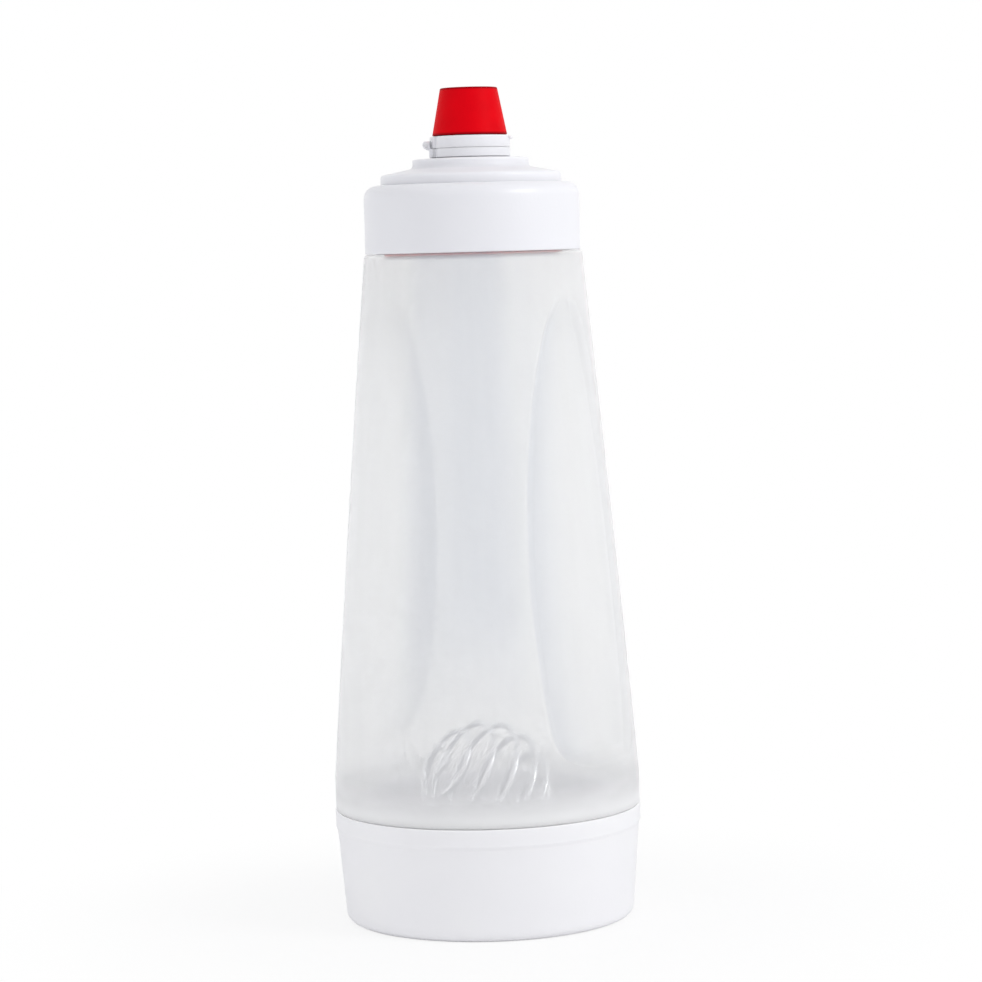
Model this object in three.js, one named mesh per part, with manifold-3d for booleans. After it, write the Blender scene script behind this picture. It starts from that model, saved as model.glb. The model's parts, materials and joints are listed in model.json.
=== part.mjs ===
// A batter mixing bottle: a frosted bottle open at both ends, a base cup and a collar that screw
// onto it, a stepped dome with a short spout, a hinged lid and a loose wire ball that whisks.
// Millimetres, +Z up, the origin at the centre of the ring that the base cup stands on.
import * as THREE from "three";
import { mergeVertices } from "three/addons/utils/BufferGeometryUtils.js";
import Module from "manifold-3d";

const wasm = await Module();
wasm.setup();

// Sizes that many pieces share
const SEAT_GAP = 0.3; // between pieces that rest on each other
const SEAM_GAP = 0.4; // the seam line between the bottle and what screws onto it
const CUT_OVERRUN = 2; // how far a cutting solid runs past what it cuts
const FULL_TURN = Math.PI * 2;
const QUARTER_TURN = Math.PI / 2;
const WIDE_SIDES = 44; // facets round the base cup and the collar
const DOME_SIDES = 36;
const SPOUT_SIDES = 28;
const PIN_SIDES = 16;
const FILLET_STEPS = 3;
const FINE_FILLET = 1.2; // a fillet under this is one facet

// The bottle's own outline, which the base cup and the collar follow
const BELLY_RADIUS = 54.75; // where the bottle is widest, just above the base cup
const SHOULDER_RADIUS = 38.85;
const SHOULDER_HEIGHT = 238.8;

// Base cup
const BASE_HEIGHT = 39.9;
const BASE_PROUD = 0.2; // of the bottle's belly
const BASE_WALL = 3.65;
const BASE_BAND_HEIGHT = 6;
const BASE_BAND_STEP = 0.6;
const BASE_TAPER = 3.3; // how much narrower its foot is than its rim
const BASE_FOOT_FILLET = 3.2;
const BASE_FOOT_WIDTH = 4.2; // the ring that it stands on, with its fillet
const BASE_FLOOR_RISE = 20.3; // the hollow under the floor
const BASE_FLOOR = 2;
const BASE_RIM_FILLET = 0.8;
const PLUG_WALL = 1.8; // the ring that stands on the floor, inside the bottle's skirt
const PLUG_HEIGHT = 22.9;
const PLUG_CLEARANCE = 0.6;
const BASE_GASKET = 1.8;
const BASE_GASKET_INSET = 0.4;

// Bottle
const SKIRT_WALL = 2.4;
const BASE_THREAD_ROOM = 2.3; // between the plain core of the skirt's thread and the base cup
const BODY_WALL = 1.6;
const BODY_FOOT_FILLET = 4;
const BELLY_RISE = 11.7; // from the bottle's lower edge to where it is widest
const SHOULDER_FILLET = 2.2;
const SHOULDER_INNER_FILLET = 0.6;
const BODY_SWELL = 0.35; // how far the side bows out from a straight taper
const NECK_THREAD_ROOM = 2.2; // between the plain core of the neck's thread and the collar
const NECK_WALL = 2.2;
const NECK_HEIGHT = 18.7;
const NECK_FILLET = 0.8;

// The two grips pressed into the bottle's sides
const GRIP_FOOT_MARGIN = 6; // above the bottle's widest place
const GRIP_TOP_MARGIN = 12.8; // below the shoulder
const GRIP_WAIST_SHARE = 0.4; // where the grip is widest, as a share of its height
const GRIP_NARROWING_SHARE = 0.235; // how much narrower it is just above its foot
const GRIP_EDGE_ANGLE = THREE.MathUtils.degToRad(32.4);
const GRIP_LEAST_ANGLE = THREE.MathUtils.degToRad(5);
const GRIP_TAPER_POWER = 2.3; // how late the grip draws in towards its top
const GRIP_POINT_POWER = 0.58; // how round the top is
const GRIP_NARROWING_POWER = 1.54;
const GRIP_FOOT_POWER = 16; // how square its foot is
const GRIP_DEPTH = 2.5;
const GRIP_HOLLOW = 0.9; // how much deeper its middle is than its edge
const GRIP_STEP_WIDTH = 4;
const GRIP_TOP_FADE = 14;
const GRIP_FOOT_FADE = 7;
const GRIP_ROWS = 11;
const GRIP_COLUMNS = { floor: 3, step: 2, panel: 6 }; // in each quarter of the bottle
const EVEN_HALF_ANGLE = THREE.MathUtils.degToRad(20); // where the columns stand well away from a grip
const EVEN_DISTANCE = 17; // how far below the grips that is

// Collar
const COLLAR_SETBACK = 0.45; // from the bottle's shoulder
const COLLAR_WALL = 2.2;
const COLLAR_TOP_FILLET = 4.6;
const COLLAR_FOOT_FILLET = 1.3;
const COLLAR_WEB = 3.2;
const COLLAR_RISE = 0.8; // from the bottle's shoulder to the collar's lower edge
const COLLAR_CLEARANCE = 0.4;

// Dome
const DOME_FLANGE = 1.9;
const DOME_FLANGE_CLEARANCE = 0.6;
const DOME_FLANGE_REACH = 3.4; // past the first tier
const DOME_WALL = 1.8;
const TIER_ONE_RISE = 7;
const TIER_ONE_FILLET = 1.4;
const TIER_TWO_RADIUS = 20.7;
const TIER_TWO_RISE = 3.1;
const TIER_TWO_FILLET = 0.7;
const TIER_TWO_FOOT_FILLET = 1.6;
const TIER_ONE_SLOPE = 2.3; // how far the first tier's top climbs to the second
const TIER_TWO_SLOPE = 0.5;
const DOME_PLUG_CLEARANCE = 0.6;
const DOME_PLUG_DROP = 20.8; // how far the dome's plug reaches into the neck
const GROOVE_FOOT = 1.2;
const GROOVE_HEIGHT = 2.6;
const GROOVE_DEPTH = 1;

// Spout
const TUBE_RADIUS = 11;
const TUBE_WALL = 1.7;
const TUBE_HEIGHT = 3.5; // above the dome
const TUBE_DROP = 4.3; // below the dome's top, to the underside of the ledge
const LEDGE = 1.3;
const LEDGE_REACH = 2.5;
const BEAD_RISE = 1.5;
const BEAD_HEIGHT = 0.9;
const BEAD_PROUD = 0.3;
const VALVE_FLANGE = 1.4;
const VALVE_SKIN = 1;
const VALVE_INSET = 2.8;
const VALVE_RISE = 2.2;
const VALVE_STEP_SHARES = [0, 0.35, 0.7, 1]; // of the angle from its crown to its edge
const VALVE_UNDERSIDE_SHARE = 0.9; // how far out its hollow reaches
const SLIT_WIDTH = 0.35;
const SLIT_SHARE = 0.65; // its length, as a share of the valve's width
const RETAINER_WALL = 1.6;
const TIP_FLANGE = 1.1;
const TIP_INSET = 1.8;
const TIP_BORE_RADIUS = 3;
const TIP_WALL = 1.4;
const TIP_END_FILLET = 0.7;

// Ring that holds the tip down and carries the hinge
const RING_CLEARANCE = 0.35;
const RING_WALL = 2.95;
const RING_BAND = 2.9;
const RING_LIP = 1.1;
const RING_NECK_WALL = 1.25;
const RING_FILLET = 0.4;

// Hinge
const HINGE_AZIMUTH = THREE.MathUtils.degToRad(-142);
const PIN_RADIUS = 0.8;
const PIN_CLEARANCE = 0.15;
const PIN_STANDOFF = 1.3; // from the ring's band
const PIN_RISE = 1.4; // above the ring's band
const KNUCKLE_RADIUS = 1.3;
const KNUCKLE_WIDTH = 7.4;
const EAR_THICKNESS = 2.2;
const EAR_POST = 1.5;
const EAR_FLARE_ANGLE = THREE.MathUtils.degToRad(-50); // where the flare meets the ear's round end
const EAR_CROWN_ANGLE = THREE.MathUtils.degToRad(130); // where the round end meets its top
const PIN_HEAD = 0.2;
const RELIEF_WIDTH = 2.4;
const RELIEF_DEPTH = 0.6;

// Lid
const LID_CEILING = 0.9;
const SPIGOT_WALL = 1.2;
const LIFT_LIP_REACH = 1;
const LIFT_LIP_WIDTH = 8;
const LIFT_LIP_HEIGHT = 0.8;
const COVER_SETBACK = 0.95; // from the lid's band
const COVER_HEIGHT = 16.75;
const COVER_TAPER = 3.2; // how much narrower its top is than its foot
const COVER_WALL = 3.05;
const COVER_TOP = 2.6;
const COVER_FILLET = 0.5;
const LID_SEAL = 2.8;
const LID_SEAL_CLEARANCE = 1.3;

// Wire ball
const WIRE_RADIUS = 1.2;
const BALL_RADIUS = 24;
const BALL_TURNS = 7;
const BALL_END_ANGLE = THREE.MathUtils.degToRad(12); // between each end of the wire and its pole
const BALL_STEPS_PER_TURN = 24;
const WIRE_SIDES = 6;
const BALL_OFFSET = new THREE.Vector2(-0.6, -0.4);
const BALL_AXIS = new THREE.Vector3(-0.24, -0.78, 0.58).normalize();

// Radii that the pieces share
const baseRimRadius = BELLY_RADIUS + BASE_PROUD;
const baseFootRadius = baseRimRadius - BASE_TAPER;
const baseInner = baseRimRadius - BASE_WALL;
const skirtRadius = baseInner - BASE_THREAD_ROOM;
const skirtInner = skirtRadius - SKIRT_WALL;
const plugOuter = skirtInner - PLUG_CLEARANCE;
const collarRadius = SHOULDER_RADIUS - COLLAR_SETBACK;
const collarInner = collarRadius - COLLAR_WALL;
const neckRadius = collarInner - NECK_THREAD_ROOM;
const neckInner = neckRadius - NECK_WALL;
const flangeRadius = collarInner - DOME_FLANGE_CLEARANCE;
const tierOneRadius = flangeRadius - DOME_FLANGE_REACH;
const domePlugRadius = neckInner - DOME_PLUG_CLEARANCE;
const grooveRadius = domePlugRadius - GROOVE_DEPTH;
const tubeInner = TUBE_RADIUS - TUBE_WALL;
const ledgeInner = tubeInner - LEDGE_REACH;
const valveRadius = tubeInner - VALVE_INSET;
const tipFootRadius = tubeInner - TIP_INSET;
const tipEndRadius = TIP_BORE_RADIUS + TIP_WALL;
const ringInner = TUBE_RADIUS + RING_CLEARANCE;
const ringRadius = ringInner + RING_WALL;
const ringNeckRadius = ringInner + RING_NECK_WALL;
const lidBandInner = ringNeckRadius + SEAT_GAP;
const coverFootRadius = ringRadius - COVER_SETBACK;
const coverEndRadius = coverFootRadius - COVER_TAPER;
const coverRoomRadius = coverFootRadius - COVER_WALL;
const spigotFootRadius = coverRoomRadius - SEAT_GAP;
const pinReach = ringRadius + PIN_STANDOFF;
const earInner = KNUCKLE_WIDTH / 2 + SEAT_GAP;
const earOuter = earInner + EAR_THICKNESS;

// Heights that the pieces share
const floorTop = BASE_FLOOR_RISE + BASE_FLOOR;
const baseGasketFoot = floorTop + SEAT_GAP;
const skirtFoot = baseGasketFoot + BASE_GASKET + SEAT_GAP;
const bodyFoot = BASE_HEIGHT + SEAM_GAP;
const bellyHeight = bodyFoot + BELLY_RISE;
const gripFoot = bellyHeight + GRIP_FOOT_MARGIN;
const gripTop = SHOULDER_HEIGHT - GRIP_TOP_MARGIN;
const mouth = SHOULDER_HEIGHT + NECK_HEIGHT;
const collarFoot = SHOULDER_HEIGHT + COLLAR_RISE;
const flangeFoot = mouth + SEAT_GAP;
const flangeTop = flangeFoot + DOME_FLANGE;
const collarWebFoot = flangeTop + SEAT_GAP;
const collarTop = collarWebFoot + COLLAR_WEB;
const tierOneTop = flangeTop + TIER_ONE_RISE;
const tierTwoFoot = tierOneTop + TIER_ONE_SLOPE;
const tierTwoTop = tierTwoFoot + TIER_TWO_RISE;
const domeTop = tierTwoTop + TIER_TWO_SLOPE;
const domePlugFoot = mouth - DOME_PLUG_DROP;
const grooveFoot = domePlugFoot + GROOVE_FOOT;
const grooveTop = grooveFoot + GROOVE_HEIGHT;
const tubeTop = domeTop + TUBE_HEIGHT;
const ledgeFoot = domeTop - TUBE_DROP;
const ledgeTop = ledgeFoot + LEDGE;
const valveFoot = ledgeTop + SEAT_GAP;
const valveFlangeTop = valveFoot + VALVE_FLANGE;
const retainerFoot = valveFlangeTop + SEAT_GAP;
const retainerTop = tubeTop - SEAT_GAP;
const tipFoot = tubeTop + SEAT_GAP;
const tipFlangeTop = tipFoot + TIP_FLANGE;
const ringFoot = domeTop + SEAT_GAP;
const ringBandTop = ringFoot + RING_BAND;
const lipFoot = tipFlangeTop + SEAT_GAP;
const ringTop = lipFoot + RING_LIP;
const pinHeight = ringBandTop + PIN_RISE;
const lidFoot = ringBandTop + SEAT_GAP;
const lidCeilingFoot = ringTop + SEAT_GAP;
const lidTop = lidCeilingFoot + LID_CEILING;
const coverFoot = lidTop + SEAT_GAP;
const coverTop = coverFoot + COVER_HEIGHT;
const coverCeiling = coverTop - COVER_TOP;
const spigotTop = coverCeiling - SEAT_GAP;
const spigotCeiling = spigotTop - SPIGOT_WALL;
const lidSealTop = spigotCeiling - SEAT_GAP;
const lidSealFoot = lidSealTop - LID_SEAL;
const tipTop = lidSealFoot - SEAT_GAP;

// The cover and the spigot under it taper alike.
const coverRate = COVER_TAPER / COVER_HEIGHT;
const spigotEndRadius = spigotFootRadius - coverRate * (spigotTop - lidTop);
const coverRoomEndRadius = coverRoomRadius - coverRate * (coverCeiling - coverFoot);

const WHITE = { color: 0xf0f0f3, roughness: 0.38, metalness: 0 };
const FROSTED = { color: 0xe3e5e8, roughness: 0.45, metalness: 0 };
const RED = { color: 0xd8101c, roughness: 0.5, metalness: 0 };
const CLEAR_SILICONE = { color: 0xe9e6e1, roughness: 0.6, metalness: 0 };
const STEEL = { color: 0xc9cbcf, roughness: 0.22, metalness: 1 };

// Replaces each corner [radius, height, fillet] by an arc that touches both of its sides.
function filleted(corners) {
  const points = [];
  corners.forEach(([x, y, fillet = 0], i) => {
    const corner = new THREE.Vector2(x, y);
    const before = corners[(i + corners.length - 1) % corners.length];
    const after = corners[(i + 1) % corners.length];
    if (fillet === 0) {
      points.push(corner);
      return;
    }
    const back = new THREE.Vector2(before[0], before[1]).sub(corner).normalize();
    const ahead = new THREE.Vector2(after[0], after[1]).sub(corner).normalize();
    const half = Math.acos(back.dot(ahead)) / 2;
    const centre = back.clone().add(ahead).normalize().multiplyScalar(fillet / Math.sin(half)).add(corner);
    const start = back.clone().multiplyScalar(fillet / Math.tan(half)).add(corner).sub(centre);
    const end = ahead.clone().multiplyScalar(fillet / Math.tan(half)).add(corner).sub(centre);
    const sweep = Math.atan2(start.cross(end), start.dot(end));
    const steps = fillet < FINE_FILLET ? 1 : FILLET_STEPS;
    for (let step = 0; step <= steps; step++) {
      points.push(start.clone().rotateAround(new THREE.Vector2(), (sweep * step) / steps).add(centre));
    }
  });
  return points;
}

// Turns a closed outline of corners about Z. The outline may touch the axis at its first and last corner.
function revolved(corners, sides) {
  const points = filleted(corners);
  if (THREE.ShapeUtils.area(points) < 0) points.reverse();
  const onAxis = points[0].x === 0 || points[points.length - 1].x === 0;
  if (!onAxis) points.push(points[0].clone());
  return new THREE.LatheGeometry(points, sides).rotateX(QUARTER_TURN);
}

// Extrudes an outline drawn in X and Z along Y, centred on Y = 0.
function slab(shape, width) {
  return new THREE.ExtrudeGeometry(shape, { depth: width, bevelEnabled: false, curveSegments: PIN_SIDES / 2 })
    .translate(0, 0, -width / 2)
    .rotateX(QUARTER_TURN);
}

// A box between two corners.
function block(x0, x1, y0, y1, z0, z1) {
  return new THREE.BoxGeometry(x1 - x0, y1 - y0, z1 - z0)
    .translate((x0 + x1) / 2, (y0 + y1) / 2, (z0 + z1) / 2);
}

// A round bar on the hinge's line.
function rod(radius, length) {
  return new THREE.CylinderGeometry(radius, radius, length, PIN_SIDES)
    .translate(pinReach, 0, pinHeight);
}

function solid(geometry) {
  const bare = geometry.index ? geometry.toNonIndexed() : geometry.clone();
  bare.deleteAttribute("normal");
  bare.deleteAttribute("uv");
  const merged = mergeVertices(bare);
  return new wasm.Manifold(new wasm.Mesh({
    numProp: 3,
    vertProperties: merged.attributes.position.array,
    triVerts: new Uint32Array(merged.index.array),
  }));
}

function geometryOf(manifold) {
  const mesh = manifold.getMesh();
  const geometry = new THREE.BufferGeometry();
  geometry.setAttribute("position", new THREE.BufferAttribute(mesh.vertProperties, 3));
  geometry.setIndex(new THREE.BufferAttribute(mesh.triVerts, 1));
  geometry.computeVertexNormals();
  return geometry;
}

function piece(name, geometry, finish) {
  const mesh = new THREE.Mesh(geometry, new THREE.MeshStandardMaterial(finish));
  mesh.name = name;
  return mesh;
}

// Base cup: a hollow foot, a floor, a tapered outer wall and a ring that plugs the bottle's skirt.
function baseCup() {
  const bandFoot = BASE_HEIGHT - BASE_BAND_HEIGHT;
  const plugInner = plugOuter - PLUG_WALL;
  const footInner = baseFootRadius - BASE_FOOT_WIDTH;
  return revolved([
    [0, BASE_FLOOR_RISE],
    [baseInner - BASE_FLOOR, BASE_FLOOR_RISE, BASE_FLOOR / 2],
    [footInner, 0],
    [baseFootRadius, 0, BASE_FOOT_FILLET],
    [baseRimRadius - BASE_BAND_STEP, bandFoot - BASE_BAND_STEP],
    [baseRimRadius, bandFoot],
    [baseRimRadius, BASE_HEIGHT, BASE_RIM_FILLET],
    [baseInner, BASE_HEIGHT, BASE_RIM_FILLET],
    [baseInner, floorTop],
    [plugOuter, floorTop],
    [plugOuter, floorTop + PLUG_HEIGHT, PLUG_WALL / 4],
    [plugInner, floorTop + PLUG_HEIGHT, PLUG_WALL / 4],
    [plugInner, floorTop, BASE_FLOOR],
    [0, floorTop],
  ], WIDE_SIDES);
}

function baseGasket() {
  const inner = plugOuter + BASE_GASKET_INSET;
  const outer = baseInner - BASE_GASKET_INSET;
  return revolved([
    [inner, baseGasketFoot],
    [outer, baseGasketFoot],
    [outer, baseGasketFoot + BASE_GASKET],
    [inner, baseGasketFoot + BASE_GASKET],
  ], WIDE_SIDES);
}

// Radius of the bottle's outer wall: a straight taper with a slight swell.
function bodyRadius(height) {
  const share = THREE.MathUtils.clamp((height - bellyHeight) / (SHOULDER_HEIGHT - bellyHeight), 0, 1);
  const taper = THREE.MathUtils.lerp(BELLY_RADIUS, SHOULDER_RADIUS, share);
  return taper + BODY_SWELL * Math.sin(Math.PI * share);
}

// Half the angle that a grip's floor spans at a height: blunt at its foot, drawn in to a round top.
function gripHalfAngle(height) {
  const share = (height - gripFoot) / (gripTop - gripFoot);
  const above = share > GRIP_WAIST_SHARE;
  const away = above ? (share - GRIP_WAIST_SHARE) / (1 - GRIP_WAIST_SHARE) : 1 - share / GRIP_WAIST_SHARE;
  const width = above
    ? (1 - away ** GRIP_TAPER_POWER) ** GRIP_POINT_POWER
    : (1 - GRIP_NARROWING_SHARE * away ** GRIP_NARROWING_POWER) * Math.sqrt(1 - away ** GRIP_FOOT_POWER);
  return Math.max(GRIP_LEAST_ANGLE, GRIP_EDGE_ANGLE * width - GRIP_STEP_WIDTH / bodyRadius(height));
}

function gripFade(height) {
  const foot = THREE.MathUtils.smoothstep(height, gripFoot, gripFoot + GRIP_FOOT_FADE);
  const top = 1 - THREE.MathUtils.smoothstep(height, gripTop - GRIP_TOP_FADE, gripTop);
  return foot * top;
}

// Half the angle between the columns at a grip's edges. They follow the grip, and below it and towards
// the shoulder they spread out evenly again, so that the neck has straight columns.
function columnHalfAngle(height) {
  const nearest = THREE.MathUtils.clamp(height, gripFoot + GRIP_FOOT_FADE / 3, gripTop);
  const below = (gripFoot - height) / EVEN_DISTANCE;
  const above = (height - gripTop) / (SHOULDER_HEIGHT - SHOULDER_FILLET - gripTop);
  const share = THREE.MathUtils.clamp(Math.max(below, above), 0, 1);
  return THREE.MathUtils.lerp(gripHalfAngle(nearest), EVEN_HALF_ANGLE, share);
}

// The columns of one quarter, from the middle of a grip to the middle of the panel beside it:
// each has its angle and how far the wall is pressed in there.
function quarterColumns(height) {
  const half = columnHalfAngle(height);
  const step = GRIP_STEP_WIDTH / bodyRadius(height);
  const fade = gripFade(height);
  const columns = [];
  for (let i = 0; i < GRIP_COLUMNS.floor; i++) {
    const share = i / GRIP_COLUMNS.floor;
    columns.push({ angle: half * share, depth: fade * (GRIP_DEPTH + GRIP_HOLLOW * (1 - share ** 2)) });
  }
  for (let i = 0; i < GRIP_COLUMNS.step; i++) {
    const share = i / GRIP_COLUMNS.step;
    const left = 1 - THREE.MathUtils.smoothstep(share, 0, 1);
    columns.push({ angle: half + step * share, depth: fade * GRIP_DEPTH * left });
  }
  for (let i = 0; i <= GRIP_COLUMNS.panel; i++) {
    const share = i / GRIP_COLUMNS.panel;
    columns.push({ angle: THREE.MathUtils.lerp(half + step, QUARTER_TURN, share), depth: 0 });
  }
  return columns;
}

// All the columns round the bottle at a height: the quarter, mirrored and repeated. Quads are split by
// one diagonal in each quarter and by the other in the next, so both edges of a grip are alike.
function ringColumns(height) {
  const quarter = quarterColumns(height);
  const mirrored = quarter.slice(1, -1).reverse();
  const half = [
    ...quarter,
    ...mirrored.map(({ angle, depth }) => ({ angle: Math.PI - angle, depth })),
  ];
  return [...half, ...half.map(({ angle, depth }) => ({ angle: angle + Math.PI, depth }))];
}

// Bottle: a closed outline of the wall, carried round the columns, with the grips pressed in.
function bottleBody() {
  const gripHeights = Array.from({ length: GRIP_ROWS + 1 }, (_, i) =>
    THREE.MathUtils.lerp(gripFoot, gripTop, i / GRIP_ROWS));
  const fadeHeights = [
    gripFoot + GRIP_FOOT_FADE / 3,
    gripFoot + GRIP_FOOT_FADE,
    gripTop - GRIP_TOP_FADE / 3,
    gripTop + (GRIP_TOP_MARGIN - SHOULDER_FILLET) / 2,
  ];
  const heights = [...gripHeights, ...fadeHeights].sort((a, b) => a - b);
  const wallFoot = bodyFoot + BODY_FOOT_FILLET;
  const shoulderInner = SHOULDER_HEIGHT - BODY_WALL;
  const side = heights.map((height) => [bodyRadius(height), height]);
  const inside = heights.map((height) => [bodyRadius(height) - BODY_WALL, height]).reverse();
  const outline = filleted([
    [skirtInner, skirtFoot],
    [skirtRadius, skirtFoot],
    [skirtRadius, bodyFoot],
    [BELLY_RADIUS, bodyFoot, BODY_FOOT_FILLET],
    [BELLY_RADIUS, bellyHeight],
    ...side,
    [SHOULDER_RADIUS, SHOULDER_HEIGHT, SHOULDER_FILLET],
    [neckRadius, SHOULDER_HEIGHT, NECK_FILLET],
    [neckRadius, mouth],
    [neckInner, mouth],
    [neckInner, shoulderInner],
    [SHOULDER_RADIUS - BODY_WALL, shoulderInner, SHOULDER_INNER_FILLET],
    ...inside,
    [BELLY_RADIUS - BODY_WALL, bellyHeight],
    [BELLY_RADIUS - BODY_WALL, wallFoot],
    [skirtInner, bodyFoot],
  ]);
  const count = outline.length;
  const positions = [];
  const triangles = [];
  outline.forEach(({ x, y }) => {
    ringColumns(y).forEach(({ angle, depth }) => {
      positions.push((x - depth) * Math.cos(angle), (x - depth) * Math.sin(angle), y);
    });
  });
  const columns = positions.length / 3 / count;
  for (let row = 0; row < count; row++) {
    for (let column = 0; column < columns; column++) {
      const a = row * columns + column;
      const b = row * columns + ((column + 1) % columns);
      const c = ((row + 1) % count) * columns + column;
      const d = ((row + 1) % count) * columns + ((column + 1) % columns);
      const mirrored = Math.floor((4 * column) / columns) % 2 === 1;
      triangles.push(...(mirrored ? [a, b, d, a, d, c] : [a, b, c, b, d, c]));
    }
  }
  const geometry = new THREE.BufferGeometry();
  geometry.setAttribute("position", new THREE.Float32BufferAttribute(positions, 3));
  geometry.setIndex(triangles);
  geometry.computeVertexNormals();
  return geometry;
}

function collarRing() {
  const opening = tierOneRadius + COLLAR_CLEARANCE;
  return revolved([
    [collarInner, collarFoot],
    [collarRadius, collarFoot, COLLAR_FOOT_FILLET],
    [collarRadius, collarTop, COLLAR_TOP_FILLET],
    [opening, collarTop],
    [opening, collarWebFoot],
    [collarInner, collarWebFoot],
  ], WIDE_SIDES);
}

// Dome: the plug in the bottle's neck, the flange that the collar clamps, two tiers and the spout's tube.
function spoutDome() {
  const plugInner = domePlugRadius - DOME_WALL;
  const beadFoot = domeTop + BEAD_RISE;
  const tierTwoInner = TIER_TWO_RADIUS - DOME_WALL;
  const tierOneInner = tierOneRadius - DOME_WALL;
  return revolved([
    [plugInner, domePlugFoot],
    [domePlugRadius, domePlugFoot],
    [domePlugRadius, grooveFoot],
    [grooveRadius, grooveFoot],
    [grooveRadius, grooveTop],
    [domePlugRadius, grooveTop],
    [domePlugRadius, flangeFoot],
    [flangeRadius, flangeFoot],
    [flangeRadius, flangeTop],
    [tierOneRadius, flangeTop],
    [tierOneRadius, tierOneTop, TIER_ONE_FILLET],
    [TIER_TWO_RADIUS, tierTwoFoot, TIER_TWO_FOOT_FILLET],
    [TIER_TWO_RADIUS, tierTwoTop, TIER_TWO_FILLET],
    [TUBE_RADIUS, domeTop],
    [TUBE_RADIUS, beadFoot],
    [TUBE_RADIUS + BEAD_PROUD, beadFoot + BEAD_HEIGHT / 2],
    [TUBE_RADIUS, beadFoot + BEAD_HEIGHT],
    [TUBE_RADIUS, tubeTop],
    [tubeInner, tubeTop],
    [tubeInner, ledgeTop],
    [ledgeInner, ledgeTop],
    [ledgeInner, ledgeFoot],
    [TUBE_RADIUS, ledgeFoot],
    [TUBE_RADIUS, domeTop - DOME_WALL],
    [tierTwoInner, tierTwoTop - DOME_WALL],
    [tierTwoInner, tierTwoFoot - DOME_WALL],
    [tierOneInner, tierOneTop - DOME_WALL],
    [tierOneInner, flangeTop],
    [plugInner, flangeFoot],
  ], DOME_SIDES);
}

function plugGasket() {
  const inner = grooveRadius + SEAT_GAP;
  const outer = neckInner - SEAT_GAP;
  return revolved([
    [inner, grooveFoot + SEAT_GAP],
    [outer, grooveFoot + SEAT_GAP],
    [outer, grooveTop - SEAT_GAP],
    [inner, grooveTop - SEAT_GAP],
  ], DOME_SIDES);
}

// Flow valve: a flanged silicone dome with a cross slit.
function flowValve() {
  const flangeOuter = tubeInner - SEAT_GAP;
  const sphereRadius = (valveRadius ** 2 + VALVE_RISE ** 2) / (2 * VALVE_RISE);
  const sphereCentre = valveFlangeTop + VALVE_RISE - sphereRadius;
  const reach = Math.asin(valveRadius / sphereRadius);
  const dome = (radius, share) =>
    [radius * Math.sin(reach * share), sphereCentre + radius * Math.cos(reach * share)];
  const body = solid(revolved([
    ...VALVE_STEP_SHARES.map((share) => dome(sphereRadius, share)),
    [flangeOuter, valveFlangeTop],
    [flangeOuter, valveFoot],
    [valveRadius - VALVE_SKIN, valveFoot],
    ...VALVE_STEP_SHARES.map((share) =>
      dome(sphereRadius - VALVE_SKIN, share * VALVE_UNDERSIDE_SHARE)).reverse(),
  ], SPOUT_SIDES));
  const half = SLIT_SHARE * valveRadius;
  const slit = SLIT_WIDTH / 2;
  const low = valveFoot;
  const high = valveFlangeTop + VALVE_RISE + CUT_OVERRUN;
  const cross = solid(block(-half, half, -slit, slit, low, high))
    .add(solid(block(-slit, slit, -half, half, low, high)));
  return geometryOf(body.subtract(cross));
}

function valveRetainer() {
  const outer = tubeInner - SEAT_GAP;
  return revolved([
    [outer - RETAINER_WALL, retainerFoot],
    [outer, retainerFoot],
    [outer, retainerTop],
    [outer - RETAINER_WALL, retainerTop],
  ], SPOUT_SIDES);
}

// Silicone tip: a flange, clamped by the ring, and a tapered nozzle.
function spoutTip() {
  const flangeOuter = TUBE_RADIUS - SEAT_GAP;
  return revolved([
    [tipFootRadius - TIP_WALL, tipFoot],
    [flangeOuter, tipFoot],
    [flangeOuter, tipFlangeTop],
    [tipFootRadius, tipFlangeTop],
    [tipFootRadius, ringTop],
    [tipEndRadius, tipTop, TIP_END_FILLET],
    [TIP_BORE_RADIUS, tipTop],
  ], SPOUT_SIDES);
}

// Upright grooves either side of the hinge, cut into the band of a ring.
function hingeReliefs(low, high) {
  const cut = (side) => solid(block(0, RELIEF_DEPTH + CUT_OVERRUN, 0, RELIEF_WIDTH, low, high)
    .translate(ringRadius - RELIEF_DEPTH, -RELIEF_WIDTH / 2, 0)
    .rotateZ(side * Math.asin((earOuter + RELIEF_WIDTH / 2) / ringRadius)));
  return cut(1).add(cut(-1));
}

// Ear: a post on the ring's band that flares out to the pin.
function hingeEar(side) {
  const shape = new THREE.Shape();
  const postOuter = ringRadius + EAR_POST / 6;
  shape.moveTo(ringRadius - EAR_POST, ringFoot);
  shape.lineTo(postOuter, ringFoot);
  shape.lineTo(postOuter, ringBandTop - EAR_POST / 3);
  shape.absarc(pinReach, pinHeight, KNUCKLE_RADIUS, EAR_FLARE_ANGLE, EAR_CROWN_ANGLE, false);
  shape.lineTo(pinReach - KNUCKLE_RADIUS, pinHeight);
  shape.lineTo(pinReach - KNUCKLE_RADIUS, ringBandTop);
  shape.lineTo(ringRadius - EAR_POST, ringBandTop);
  return slab(shape, EAR_THICKNESS).translate(0, side * (earInner + EAR_THICKNESS / 2), 0);
}

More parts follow.
